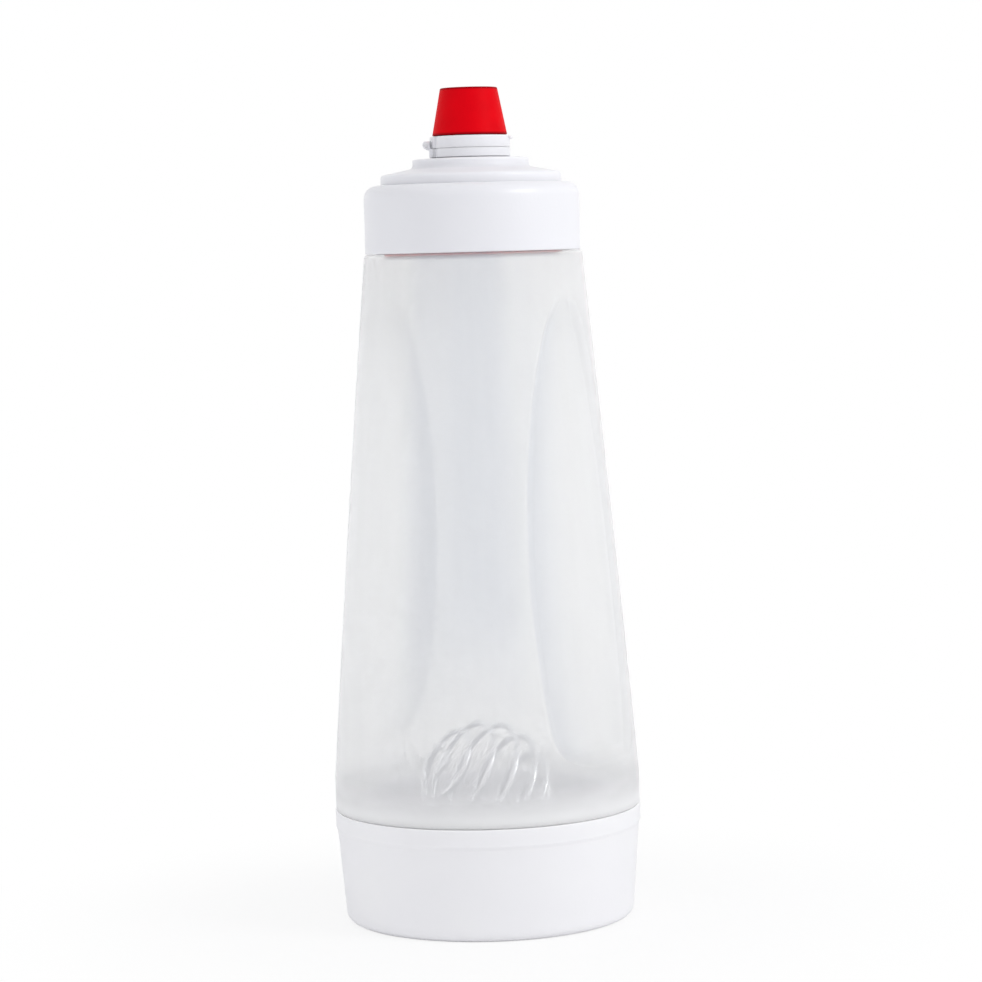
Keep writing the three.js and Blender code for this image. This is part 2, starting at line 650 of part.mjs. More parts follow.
function tipRing() {
  const lipInner = tipFootRadius + RING_CLEARANCE;
  const groove = BEAD_PROUD;
  const beadFoot = domeTop + BEAD_RISE;
  const ring = solid(revolved([
    [ringInner, ringFoot],
    [ringRadius, ringFoot, RING_FILLET],
    [ringRadius, ringBandTop, RING_FILLET],
    [ringNeckRadius, ringBandTop],
    [ringNeckRadius, ringTop, RING_FILLET],
    [lipInner, ringTop],
    [lipInner, lipFoot],
    [ringInner, lipFoot],
    [ringInner, beadFoot + BEAD_HEIGHT + groove],
    [ringInner + groove, beadFoot + BEAD_HEIGHT],
    [ringInner + groove, beadFoot],
    [ringInner, beadFoot - groove],
  ], SPOUT_SIDES));
  const reliefs = hingeReliefs(ringFoot - CUT_OVERRUN, ringBandTop + CUT_OVERRUN);
  const pinHole = solid(rod(PIN_RADIUS + PIN_CLEARANCE, 2 * (earOuter + CUT_OVERRUN)));
  const knuckleRoom = solid(rod(KNUCKLE_RADIUS + SEAT_GAP, 2 * earInner));
  return geometryOf(ring.subtract(reliefs)
    .add(solid(hingeEar(1)))
    .add(solid(hingeEar(-1)))
    .subtract(pinHole)
    .subtract(knuckleRoom));
}

function hingePin() {
  return rod(PIN_RADIUS, 2 * (earOuter + PIN_HEAD));
}

// Lid frame: a band over the tip ring, a spigot for the cover, the hinge's knuckle and a lift lip.
function lidFrame() {
  const shell = solid(revolved([
    [lidBandInner, lidFoot],
    [ringRadius, lidFoot, RING_FILLET],
    [ringRadius, lidTop, RING_FILLET],
    [spigotFootRadius, lidTop],
    [spigotEndRadius, spigotTop],
    [0, spigotTop],
    [0, spigotCeiling],
    [spigotEndRadius - SPIGOT_WALL, spigotCeiling],
    [spigotFootRadius - SPIGOT_WALL, lidCeilingFoot],
    [lidBandInner, lidCeilingFoot],
  ].reverse(), SPOUT_SIDES));
  const web = new THREE.Shape();
  web.moveTo(lidBandInner + SEAT_GAP, lidFoot);
  web.absarc(pinReach, pinHeight, KNUCKLE_RADIUS, -QUARTER_TURN, QUARTER_TURN, false);
  web.lineTo(lidBandInner + SEAT_GAP, pinHeight + KNUCKLE_RADIUS);
  const lip = block(
    -ringRadius - LIFT_LIP_REACH, -lidBandInner - SEAT_GAP,
    -LIFT_LIP_WIDTH / 2, LIFT_LIP_WIDTH / 2,
    lidTop - LIFT_LIP_HEIGHT - RING_FILLET, lidTop - RING_FILLET,
  );
  const pinHole = solid(rod(PIN_RADIUS + PIN_CLEARANCE, KNUCKLE_WIDTH + CUT_OVERRUN));
  return geometryOf(shell
    .subtract(hingeReliefs(lidFoot - CUT_OVERRUN, lidTop - RING_FILLET))
    .add(solid(slab(web, KNUCKLE_WIDTH)))
    .add(solid(lip))
    .subtract(pinHole));
}

function lidSeal() {
  const radius = spigotEndRadius - SPIGOT_WALL - LID_SEAL_CLEARANCE;
  return revolved([
    [0, lidSealFoot],
    [radius, lidSealFoot],
    [radius, lidSealTop],
    [0, lidSealTop],
  ], SPOUT_SIDES);
}

// Lid cover: a soft tapered cap pushed over the frame's spigot.
function lidCover() {
  return revolved([
    [0, coverTop],
    [coverEndRadius, coverTop, COVER_FILLET],
    [coverFootRadius, coverFoot],
    [coverRoomRadius, coverFoot],
    [coverRoomEndRadius, coverCeiling],
    [0, coverCeiling],
  ], SPOUT_SIDES);
}

// The wire's centre line: a spiral from pole to pole of a sphere, with its turns evenly spaced.
class BallSpiral extends THREE.Curve {
  getPoint(share, target = new THREE.Vector3()) {
    const polar = THREE.MathUtils.lerp(BALL_END_ANGLE, Math.PI - BALL_END_ANGLE, share);
    return target.setFromSphericalCoords(BALL_RADIUS - WIRE_RADIUS, polar, FULL_TURN * BALL_TURNS * share);
  }

  // Steps are even in angle, not in length, so that the small turns at the poles stay round.
  getUtoTmapping(share) {
    return share;
  }
}

function wireBall() {
  const section = new THREE.Shape();
  for (let side = 0; side < WIRE_SIDES; side++) {
    const angle = (FULL_TURN * side) / WIRE_SIDES;
    const draw = side === 0 ? "moveTo" : "lineTo";
    section[draw](WIRE_RADIUS * Math.cos(angle), WIRE_RADIUS * Math.sin(angle));
  }
  const steps = BALL_TURNS * BALL_STEPS_PER_TURN;
  const spiral = new BallSpiral();
  const geometry = new THREE.ExtrudeGeometry(section, { steps, extrudePath: spiral, bevelEnabled: false });
  const centre = floorTop + SEAT_GAP + BALL_RADIUS;
  return geometry
    .applyQuaternion(new THREE.Quaternion().setFromUnitVectors(new THREE.Vector3(0, 1, 0), BALL_AXIS))
    .translate(BALL_OFFSET.x, BALL_OFFSET.y, centre);
}

// The least gap between two stretches of the wire, measured on points that are at least three of its
// diameters apart along it.
function leastWireGap() {
  const samples = BALL_TURNS * BALL_STEPS_PER_TURN * 2;
  const spiral = new BallSpiral();
  const points = spiral.getPoints(samples);
  const lengths = spiral.getLengths(samples);
  const apart = 3 * 2 * WIRE_RADIUS;
  let least = Infinity;
  for (let i = 0; i < points.length; i++) {
    for (let j = i + 1; j < points.length; j++) {
      if (lengths[j] - lengths[i] < apart) continue;
      least = Math.min(least, points[i].distanceTo(points[j]));
    }
  }
  return least - 2 * WIRE_RADIUS;
}

console.log(`least gap between the wire's turns: ${leastWireGap().toFixed(2)} mm`);

const bottle = new THREE.Group();
bottle.add(
  piece("base_cup", baseCup(), WHITE),
  piece("base_gasket", baseGasket(), CLEAR_SILICONE),
  piece("bottle_body", bottleBody(), FROSTED),
  piece("whisk_ball", wireBall(), STEEL),
  piece("collar_ring", collarRing(), WHITE),
  piece("spout_dome", spoutDome(), WHITE),
  piece("plug_gasket", plugGasket(), RED),
  piece("flow_valve", flowValve(), CLEAR_SILICONE),
  piece("valve_retainer", valveRetainer(), WHITE),
  piece("spout_tip", spoutTip(), CLEAR_SILICONE),
);

// The ring and the lid are turned so that the hinge stands at the bottle's left in its usual view.
const hingeGroup = new THREE.Group();
hingeGroup.rotation.z = HINGE_AZIMUTH;
hingeGroup.add(
  piece("tip_ring", tipRing(), WHITE),
  piece("hinge_pin", hingePin(), WHITE),
  piece("lid_frame", lidFrame(), WHITE),
  piece("lid_seal", lidSeal(), CLEAR_SILICONE),
  piece("lid_cover", lidCover(), RED),
);
bottle.add(hingeGroup);

export default bottle;
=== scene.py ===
# %% [markdown]
# # A batter mixing bottle
#
# The object is a frosted squeeze bottle. A base cup screws onto its lower end, and a collar clamps a stepped
# dome onto its neck. The dome carries a short spout with a hinged red lid, and a loose ball of steel wire
# lies inside and whisks the batter when the bottle is shaken.
#
# A CAD model of it is loaded first. It fixes every size and place, so each piece made here is drawn around
# the solid that it stands for, in metres, with its object at the origin.

import json
from math import atan, atan2, ceil, cos, hypot, pi, radians, sin, tan

import bmesh
import bpy
import numpy as np
from mathutils import Matrix, Vector


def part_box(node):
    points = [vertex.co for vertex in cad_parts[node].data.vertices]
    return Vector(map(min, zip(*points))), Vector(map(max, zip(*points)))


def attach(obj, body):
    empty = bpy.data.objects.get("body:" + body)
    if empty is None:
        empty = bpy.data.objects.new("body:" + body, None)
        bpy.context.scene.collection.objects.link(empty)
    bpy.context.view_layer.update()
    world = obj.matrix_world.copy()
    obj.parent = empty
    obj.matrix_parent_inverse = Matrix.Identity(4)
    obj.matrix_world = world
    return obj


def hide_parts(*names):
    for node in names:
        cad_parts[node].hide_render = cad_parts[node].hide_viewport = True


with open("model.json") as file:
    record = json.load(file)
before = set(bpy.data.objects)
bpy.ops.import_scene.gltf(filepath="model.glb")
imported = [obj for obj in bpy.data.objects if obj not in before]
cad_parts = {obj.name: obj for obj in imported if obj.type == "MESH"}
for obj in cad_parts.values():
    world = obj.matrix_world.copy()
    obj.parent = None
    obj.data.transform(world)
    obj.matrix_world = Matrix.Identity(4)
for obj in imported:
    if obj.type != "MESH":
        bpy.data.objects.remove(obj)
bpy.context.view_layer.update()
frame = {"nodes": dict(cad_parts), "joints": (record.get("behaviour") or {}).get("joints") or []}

MM = 0.001
TAU = 2 * pi
print("nodes:", sorted(frame["nodes"]))

# %% [markdown]
# ## Camera
#
# The photograph was taken with a long lens from a little over a metre, at about four fifths of the bottle's
# height, looking slightly down. The numbers below come from fitting such a camera to the outlines of the
# base, the seams and the lid. The camera is rolled a little, because the bottle leans in the picture.

# %% Camera
PHOTO_SIZE = 982
FOCAL_LENGTH_PIXELS = 3276
AXIS_LEFT_OF_CENTRE_PIXELS = 11.6
CAMERA_AZIMUTH = radians(38)
CAMERA_PITCH = radians(4.3)
CAMERA_ROLL = radians(1.55)
CAMERA_DISTANCE = 1.172
CAMERA_HEIGHT = 0.2414
SENSOR = 36
NEAREST_SEEN = 0.05


def aimed_camera():
    """Camera whose axis is the level line to the bottle, turned down by the pitch and right by the yaw.

    Yaw is the angle whose tangent is the axis's offset in pixels over the focal length in pixels."""
    data = bpy.data.cameras.new("camera")
    data.sensor_width = SENSOR
    data.lens = SENSOR * FOCAL_LENGTH_PIXELS / PHOTO_SIZE
    data.clip_start = NEAREST_SEEN
    camera = bpy.data.objects.new("camera", data)
    bpy.context.scene.collection.objects.link(camera)
    back = Vector((sin(CAMERA_AZIMUTH), -cos(CAMERA_AZIMUTH), 0))
    yaw = atan(AXIS_LEFT_OF_CENTRE_PIXELS / FOCAL_LENGTH_PIXELS)
    ahead = Vector((0, 0, -sin(CAMERA_PITCH))) - back * cos(CAMERA_PITCH)
    ahead.rotate(Matrix.Rotation(-yaw, 3, "Z"))
    right = ahead.cross(Vector((0, 0, 1))).normalized()
    up = right.cross(ahead)
    leaned = up * cos(CAMERA_ROLL) + right * sin(CAMERA_ROLL)
    side = ahead.cross(leaned)
    turn = Matrix((side, leaned, -ahead)).transposed()
    place = Matrix.Translation(back * CAMERA_DISTANCE + Vector((0, 0, CAMERA_HEIGHT)))
    camera.matrix_world = place @ turn.to_4x4()
    return camera


bpy.context.scene.camera = aimed_camera()
print("lens in mm:", round(bpy.context.scene.camera.data.lens, 1))

# %% [markdown]
# ## Studio
#
# The bottle stands in a bright white studio. Most of the light is even, as from a white room. A soft lamp at
# the camera's right makes that side of each white piece a little brighter, and a weak one low at the left
# lifts the other. Rays that go straight from the camera, or by way of gloss, find a white background. The
# floor's own colour is pale, and further out it turns to plain white, so that only the soft shadow by the
# bottle's foot is left on it.

# %% Studio
ROOM_LIGHT = (0.76, 0.765, 0.78)
FLOOR_SIZE = 6
FLOOR_COLOUR = (0.93, 0.93, 0.935, 1)
FLOOR_ROUGHNESS = 0.9
FLOOR_SPECULAR = 0.1
FLOOR_SHADOW_RADIUS = 0.06
FLOOR_WHITE_RADIUS = 0.20
FLOOR_LEAST_WHITE = 0.8
KEY_LAMP = {"azimuth": 58, "elevation": 30, "distance": 0.85, "size": 0.3, "power": 2.1}
FILL_LAMP = {"azimuth": -75, "elevation": -6, "distance": 0.5, "size": 0.3, "power": 0.25}
LAMP_TARGET = Vector((0, 0, 0.16))

# Several sockets of a Mix node share a name, so those for colours go by number.
MIX_FACTOR = 0
MIX_FIRST = 6
MIX_SECOND = 7
MIX_RESULT = 2


def white_room():
    """World that is plain white to camera, glossy and transmission rays, and a little dimmer as light."""
    world = bpy.data.worlds.new("white_room")
    bpy.context.scene.world = world
    world.use_nodes = True
    nodes, links = world.node_tree.nodes, world.node_tree.links
    path = nodes.new("ShaderNodeLightPath")
    seen = nodes.new("ShaderNodeMath")
    seen.operation = "MAXIMUM"
    links.new(path.outputs["Is Camera Ray"], seen.inputs[0])
    links.new(path.outputs["Is Glossy Ray"], seen.inputs[1])
    through = nodes.new("ShaderNodeMath")
    through.operation = "MAXIMUM"
    links.new(seen.outputs[0], through.inputs[0])
    links.new(path.outputs["Is Transmission Ray"], through.inputs[1])
    mix = nodes.new("ShaderNodeMix")
    mix.data_type = "RGBA"
    mix.inputs[MIX_FIRST].default_value = (*ROOM_LIGHT, 1)
    mix.inputs[MIX_SECOND].default_value = (1, 1, 1, 1)
    links.new(through.outputs[0], mix.inputs[MIX_FACTOR])
    links.new(mix.outputs[MIX_RESULT], nodes["Background"].inputs["Color"])


def soft_lamp(name, azimuth, elevation, distance, size, power):
    """Square lamp aimed at the bottle. Its azimuth, from the camera's own, and elevation are in degrees."""
    turn = CAMERA_AZIMUTH + radians(azimuth)
    rise = radians(elevation)
    back = Vector((sin(turn) * cos(rise), -cos(turn) * cos(rise), sin(rise)))
    data = bpy.data.lights.new(name, "AREA")
    data.size = size
    data.energy = power
    lamp = bpy.data.objects.new(name, data)
    bpy.context.scene.collection.objects.link(lamp)
    lamp.location = LAMP_TARGET + back * distance
    lamp.rotation_euler = back.to_track_quat("Z", "Y").to_euler()


def white_floor():
    """Floor plane whose material goes from a pale colour near the bottle to plain white further out."""
    half = FLOOR_SIZE / 2
    mesh = bpy.data.meshes.new("floor")
    corners = [(-half, -half, 0), (half, -half, 0), (half, half, 0), (-half, half, 0)]
    mesh.from_pydata(corners, [], [(0, 1, 2, 3)])
    floor = bpy.data.objects.new("floor", mesh)
    bpy.context.scene.collection.objects.link(floor)
    material = bpy.data.materials.new("floor")
    material.use_nodes = True
    nodes, links = material.node_tree.nodes, material.node_tree.links
    shader = nodes["Principled BSDF"]
    shader.inputs["Base Color"].default_value = FLOOR_COLOUR
    shader.inputs["Roughness"].default_value = FLOOR_ROUGHNESS
    shader.inputs["Specular IOR Level"].default_value = FLOOR_SPECULAR
    place = nodes.new("ShaderNodeTexCoord")
    distance = nodes.new("ShaderNodeVectorMath")
    distance.operation = "LENGTH"
    links.new(place.outputs["Object"], distance.inputs[0])
    fade = nodes.new("ShaderNodeMapRange")
    fade.interpolation_type = "SMOOTHSTEP"
    fade.inputs["From Min"].default_value = FLOOR_SHADOW_RADIUS
    fade.inputs["From Max"].default_value = FLOOR_WHITE_RADIUS
    fade.inputs["To Min"].default_value = FLOOR_LEAST_WHITE
    links.new(distance.outputs["Value"], fade.inputs["Value"])
    path = nodes.new("ShaderNodeLightPath")
    seen = nodes.new("ShaderNodeMath")
    seen.operation = "MULTIPLY"
    links.new(path.outputs["Is Camera Ray"], seen.inputs[0])
    links.new(fade.outputs["Result"], seen.inputs[1])
    white = nodes.new("ShaderNodeEmission")
    mix = nodes.new("ShaderNodeMixShader")
    links.new(seen.outputs[0], mix.inputs[0])
    links.new(shader.outputs[0], mix.inputs[1])
    links.new(white.outputs[0], mix.inputs[2])
    links.new(mix.outputs[0], nodes["Material Output"].inputs["Surface"])
    mesh.materials.append(material)


white_room()
soft_lamp("key", **KEY_LAMP)
soft_lamp("fill", **FILL_LAMP)
white_floor()
bpy.context.scene.view_settings.view_transform = "Standard"
print("studio: one room light and", len(bpy.data.lights), "soft lamps")

# %% [markdown]
# ## Shader maths
#
# Every finish below is one Principled shader with a few signals: noise that varies the colour, gloss and
# relief by small amounts. Wiring such sums node by node hides the idea, so a small class wraps a socket and
# lets a signal be added, scaled and raised to a power as a number is. Any other node comes from one method.

# %% A signal and a finish
class Signal:
    """A socket in a finish's node tree. Sums and products with numbers or signals add Math nodes."""

    def __init__(self, finish, socket):
        self.finish = finish
        self.socket = socket

    def __add__(self, other):
        return self.finish.maths("ADD", self, other)

    def __sub__(self, other):
        return self.finish.maths("SUBTRACT", self, other)

    def __rsub__(self, other):
        return self.finish.maths("SUBTRACT", other, self)

    def __mul__(self, other):
        return self.finish.maths("MULTIPLY", self, other)

    def __pow__(self, other):
        return self.finish.maths("POWER", self, other)

    __radd__ = __add__
    __rmul__ = __mul__


class Finish:
    """A material made of one Principled shader, its constant sockets, and the signals that feed the rest."""

    def __init__(self, name, constants):
        self.material = bpy.data.materials.new(name)
        self.material.use_nodes = True
        self.tree = self.material.node_tree
        self.shader = self.tree.nodes["Principled BSDF"]
        self.feed(self.shader, constants)
        self.place = self.node("ShaderNodeTexCoord", output="Object")

    def feed(self, node, values):
        """Sets or links a node's inputs, by name or number."""
        for key, value in values.items():
            if isinstance(value, Signal):
                self.tree.links.new(value.socket, node.inputs[key])
            else:
                node.inputs[key].default_value = value

    def node(self, kind, settings=(), values=(), output=0):
        """Adds a node of a kind with its settings, then its inputs, and gives one output as a signal."""
        node = self.tree.nodes.new(kind)
        for key, value in dict(settings).items():
            setattr(node, key, value)
        self.feed(node, dict(values))
        return Signal(self, node.outputs[output])

    def maths(self, operation, *values):
        """One Math node on numbers and signals."""
        return self.node("ShaderNodeMath", {"operation": operation}, enumerate(values))

    def noise(self, size, stretch=(1, 1, 1), detail=2, place=None):
        """Noise from 0 to 1 with lumps of a size in metres, drawn out along each axis by its stretch."""
        scale = tuple(1 / (size * share) for share in stretch)
        scaled = self.node("ShaderNodeMapping", (), {"Vector": place or self.place, "Scale": scale})
        return self.node("ShaderNodeTexNoise", (), {"Vector": scaled, "Scale": 1, "Detail": detail})

    def between(self, factor, first, second):
        """Goes from the first colour, or a signal, to the second as the factor goes from 0 to 1."""
        first = first if isinstance(first, Signal) else (*first, 1)
        colours = {MIX_FACTOR: factor, MIX_FIRST: first, MIX_SECOND: (*second, 1)}
        return self.node("ShaderNodeMix", {"data_type": "RGBA"}, colours, output=MIX_RESULT)

    def fade(self, value, start, end, first=0, last=1):
        """Goes smoothly from the first number to the last as the value goes from the start to the end."""
        numbers = {"Value": value, "From Min": start, "From Max": end, "To Min": first, "To Max": last}
        return self.node("ShaderNodeMapRange", {"interpolation_type": "SMOOTHSTEP"}, numbers)

    def height(self):
        """Height on the bottle in metres."""
        return self.node("ShaderNodeSeparateXYZ", (), {0: self.place}, output="Z")

    def outwards(self):
        """Level vector from the bottle's axis to the place, in metres."""
        return self.node("ShaderNodeVectorMath", {"operation": "MULTIPLY"}, {0: self.place, 1: (1, 1, 0)})

    def relief(self, height, depth):
        """Bumps the surface by the signal height, times a depth in metres."""
        normal = self.node("ShaderNodeBump", (), {"Height": height, "Distance": depth, "Strength": 1})
        self.feed(self.shader, {"Normal": normal})


def spread(signal, low, high):
    """Brings a signal from 0 to 1 to go from the low value to the high one."""
    return low + (high - low) * signal


def blend(first, second, share):
    """The share times the first signal, plus what is left of 1 times the second."""
    return share * first + (1 - share) * second


# %% [markdown]
# ## Finishes
#
# Five materials make up the bottle. The white parts are moulded polypropylene: satin, with the faint orange
# peel that a polished mould leaves, and the base cup's is a little brighter and has a scuffed foot. The
# bottle is natural polyethylene, which lets light through but blurs it: its shader scatters light inside the
# wall, and each skin is also partly see-through, more opaque where it is seen edge on, as a real wall is.
# The lid and one gasket are matte red silicone, the others milky silicone, and the ball is drawn steel wire.

# %% White satin plastic
WHITE_COLOUR = (0.86, 0.86, 0.89)
WHITE_FOOT_COLOUR = (0.925, 0.92, 0.94)
WHITE_TINT_SHARE = 0.955
WHITE_IOR = 1.49
WHITE_DEPTH = 0.001
WHITE_ROUGHNESS = (0.29, 0.39)
WHITE_RELIEF = 0.00003
CLOUD_SIZE = 0.03
PEEL_SIZE = 0.0011
PEEL_SHARE = 0.8
GRAIN_SIZE = 0.00025
SCUFFED_HEIGHT = 0.005
SCUFFED_ROUGHNESS = 0.3
SCUFFED_TINT = 1.5
SCRATCH_SIZE = 0.0012
SCRATCH_STRETCH = (1, 1, 0.25)


def white_plastic(name, colour, scuffed_height=None):
    """Moulded plastic: broad clouds vary its roughness and tint, and two sizes of grain raise its skin.

    Under the scuffed height it grows rougher and greyer towards z = 0, as a foot that is slid about."""
    finish = Finish(name, {
        "IOR": WHITE_IOR, "Subsurface Weight": 1,
        "Subsurface Radius": (1, 1, 1), "Subsurface Scale": WHITE_DEPTH})
    cloud = finish.noise(CLOUD_SIZE)
    peel = finish.noise(PEEL_SIZE, detail=1)
    grain = finish.noise(GRAIN_SIZE, detail=1)
    tint = tuple(WHITE_TINT_SHARE * channel for channel in colour)
    roughness = spread(cloud, *WHITE_ROUGHNESS)
    if scuffed_height:
        scratch = finish.noise(SCRATCH_SIZE, stretch=SCRATCH_STRETCH, detail=4)
        worn = finish.fade(finish.height(), 0, scuffed_height, 1, 0) * scratch
        roughness = roughness + SCUFFED_ROUGHNESS * worn
        cloud = finish.maths("MINIMUM", cloud + SCUFFED_TINT * worn, 1)
    finish.feed(finish.shader, {"Base Color": finish.between(cloud, colour, tint), "Roughness": roughness})
    finish.relief(blend(peel, grain, PEEL_SHARE), WHITE_RELIEF)
    return finish.material


white = white_plastic("white_plastic", WHITE_COLOUR)
white_foot = white_plastic("white_plastic_foot", WHITE_FOOT_COLOUR, scuffed_height=SCUFFED_HEIGHT)
print("white plastic:", len(white_foot.node_tree.nodes), "nodes with the scuffed foot")


# %% Frosted plastic
FROST_WARM = (0.97, 0.965, 0.96)
FROST_COOL = (0.92, 0.935, 0.955)
# Painted shade: the colour of the two greyer bands, then of the wall inside the grips' edges.
FROST_BAND_SHADE = (0.75, 0.77, 0.81)
FROST_STEP_SHADE = (0.66, 0.675, 0.71)
FROST_FOOT = (0.98, 0.98, 0.985)
FROST_IOR = 1.5
FROST_SPECULAR = 0.3
FROST_ROUGHNESS = (0.36, 0.48)
FROST_RELIEF = 0.00006
FROST_SIZE = 0.0006
FROST_SHARE = 0.55
RIPPLE_SIZE = 0.004
RIPPLE_STRETCH = (1, 1, 3)
STREAK_SIZE = 0.014
STREAK_STRETCH = (1, 1, 14)
BROAD_SIZE = 0.034
BROAD_STRETCH = (1, 1, 12)
BROAD_SHARE = 0.6
BROAD_LOW = 0.3
BROAD_HIGH = 0.7
INSIDE_ALPHA = 0.17
OUTSIDE_ALPHA = 0.38
STREAK_ALPHA = 0.06
STEP_ALPHA = 0.15
EDGE_ALPHA = 0.4
EDGE_POWER = 6
MILKY_DEPTH = 0.0055
# Where painted shade greys the wall: the bands' direction, their edge and core, and where they fade in.
SHADE_BAND_SIDE = radians(-61)
SHADE_BAND_EDGE = cos(radians(30))
SHADE_BAND_CORE = cos(radians(13))
SHADE_BAND_FOOT = 0.06
SHADE_BAND_FOOT_END = 0.12
MILKY_FOOT = 0.040
MILKY_FOOT_END = 0.055


def frosted_plastic():
    """Blown plastic: broad streaks run up the wall, warmer and cooler, and a fine frost lies on it.

    Painted shade greys the wall along two bands on opposite sides: there the direction from the axis, times
    the band's own direction, is near 1 or -1. The bands fade in above the foot. Two attributes of the piece
    say which skin is the outside and where painted shade darkens the wall just inside a grip's edge, which
    is also more opaque there. Alpha is its own for each skin, plus a little on streaks, the shaded grip
    edges and the wall seen edge on, and it goes to 1 at the foot, where the wall folds into the skirt."""
    finish = Finish("frosted_plastic", {
        "IOR": FROST_IOR, "Specular IOR Level": FROST_SPECULAR, "Subsurface Weight": 1,
        "Subsurface Radius": (1, 1, 1), "Subsurface Scale": MILKY_DEPTH})
    outside = finish.node("ShaderNodeAttribute", {"attribute_name": "outside"}, output="Fac")
    # Painted shade just inside each grip's edge, carried by a mesh attribute.
    step = finish.node("ShaderNodeAttribute", {"attribute_name": "grip_painted_shade"}, output="Fac")
    away = finish.node("ShaderNodeVectorMath", {"operation": "NORMALIZE"}, {0: finish.outwards()})
    facing = finish.node("ShaderNodeVectorMath", {"operation": "DOT_PRODUCT"},
                         {0: away, 1: (cos(SHADE_BAND_SIDE), sin(SHADE_BAND_SIDE), 0)}, output="Value")
    height = finish.height()
    # Painted shade on the two upright bands.
    band_shade = finish.fade(finish.maths("ABSOLUTE", facing), SHADE_BAND_EDGE, SHADE_BAND_CORE)
    band_shade = band_shade * finish.fade(height, SHADE_BAND_FOOT, SHADE_BAND_FOOT_END)
    foot = finish.fade(height, MILKY_FOOT, MILKY_FOOT_END, 1, 0)
    streak = finish.noise(STREAK_SIZE, stretch=STREAK_STRETCH, detail=3)
    broad = finish.noise(BROAD_SIZE, stretch=BROAD_STRETCH, detail=1)
    broad = finish.node("ShaderNodeMapRange", (), {
        "Value": broad, "From Min": BROAD_LOW, "From Max": BROAD_HIGH})
    frost = finish.noise(FROST_SIZE, detail=3)
    ripple = finish.noise(RIPPLE_SIZE, stretch=RIPPLE_STRETCH)
    edge_on = finish.node("ShaderNodeLayerWeight", (), {"Blend": 0.5}, output="Facing")
    wall = finish.between(blend(broad, streak, BROAD_SHARE), FROST_WARM, FROST_COOL)
    # The bands and the grips' edges are darkened with painted shade; the foot goes milky white.
    for share, colour in ((band_shade, FROST_BAND_SHADE), (step, FROST_STEP_SHADE), (foot, FROST_FOOT)):
        wall = finish.between(share, wall, colour)
    haze = STREAK_ALPHA * streak + STEP_ALPHA * step + EDGE_ALPHA * edge_on ** EDGE_POWER
    clear = INSIDE_ALPHA + outside * (OUTSIDE_ALPHA - INSIDE_ALPHA + haze)
    finish.feed(finish.shader, {
        "Base Color": wall,
        "Roughness": spread(frost, *FROST_ROUGHNESS),
        "Alpha": clear + foot * (1 - clear),
    })
    finish.relief(blend(frost, ripple, FROST_SHARE), FROST_RELIEF)
    return finish.material


frosted = frosted_plastic()
print("frosted plastic:", len(frosted.node_tree.nodes), "nodes")


# %% Silicone
RED_COLOUR = (0.83, 0.0, 0.006)
RED_SHADE = (0.36, 0.0, 0.004)
RED_SPECULAR = 0.06
MILKY_COLOUR = (0.80, 0.79, 0.77)
MILKY_SHADE = (0.74, 0.735, 0.72)
MILKY_ALPHA = 0.85
SILICONE_IOR = 1.41
SILICONE_ROUGHNESS = (0.46, 0.58)
SILICONE_RELIEF = 0.00005
TONE_SIZE = 0.008
TONE_SHARE = 0.35
BLOOM_SIZE = 0.0007
BLOOM_SHARE = 0.6
SKIN_SIZE = 0.0025
COVER_NARROWING = 3.2
COVER_SHADE_WIDTH = 1.65
# Painted shade along the cap's top and foot edges fades out between these distances from them.
EDGE_SHADE_NEAR = 0.0002
EDGE_SHADE_FAR = 0.0011


def silicone(name, colour, shade, constants=(), edges=(), core=0):
    """Soft rubbery skin: matte, with clouds that go towards the shade and a fine, rougher bloom.

    Near the given heights, as painted shade along the edges, it goes all the way to the shade, over 0.9 mm.
    Nearer to the axis than the core's radius it keeps its colour, so that a flat top stays plain."""
    finish = Finish(name, {"IOR": SILICONE_IOR, **dict(constants)})
    tone = TONE_SHARE * finish.noise(TONE_SIZE, detail=3)
    bloom = finish.noise(BLOOM_SIZE, detail=3)
    height = finish.height()
    level = finish.outwards()
    radius = finish.node("ShaderNodeVectorMath", {"operation": "LENGTH"}, {0: level}, output="Value")
    for edge in edges:
        away = finish.maths("ABSOLUTE", height - edge)
        painted_edge_shade = finish.fade(away, EDGE_SHADE_NEAR, EDGE_SHADE_FAR, 1, 0)
        tone = tone + painted_edge_shade * finish.fade(radius, core, core + EDGE_SHADE_FAR)
    finish.feed(finish.shader, {
        "Base Color": finish.between(finish.maths("MINIMUM", tone, 1), colour, shade),
        "Roughness": spread(bloom, *SILICONE_ROUGHNESS),
    })
    finish.relief(blend(bloom, finish.noise(SKIN_SIZE), BLOOM_SHARE), SILICONE_RELIEF)
    return finish.material


cover_low, cover_high = (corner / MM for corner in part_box("lid_cover"))
cover_core = cover_high.y - COVER_NARROWING - COVER_SHADE_WIDTH
# The red cap gets painted shade along its top and foot edges, but not on its flat top.
red_silicone = silicone("red_silicone", RED_COLOUR, RED_SHADE, {"Specular IOR Level": RED_SPECULAR},
                        edges=[cover_low.z * MM, cover_high.z * MM], core=cover_core * MM)
milky_silicone = silicone("milky_silicone", MILKY_COLOUR, MILKY_SHADE, {"Alpha": MILKY_ALPHA})
print("silicone: shaded at heights of", [round(edge, 1) for edge in (cover_low.z, cover_high.z)], "mm")


# %% Drawn steel wire
STEEL_COLOUR = (0.88, 0.885, 0.90)
STEEL_TINT = (0.80, 0.81, 0.83)
STEEL_CLOUD_SIZE = 0.006
STEEL_ROUGHNESS = (0.3, 0.4)
STEEL_RELIEF = 0.00002
LINE_SIZE = 0.12
LINE_STRETCH = (1, 1, 0.25)


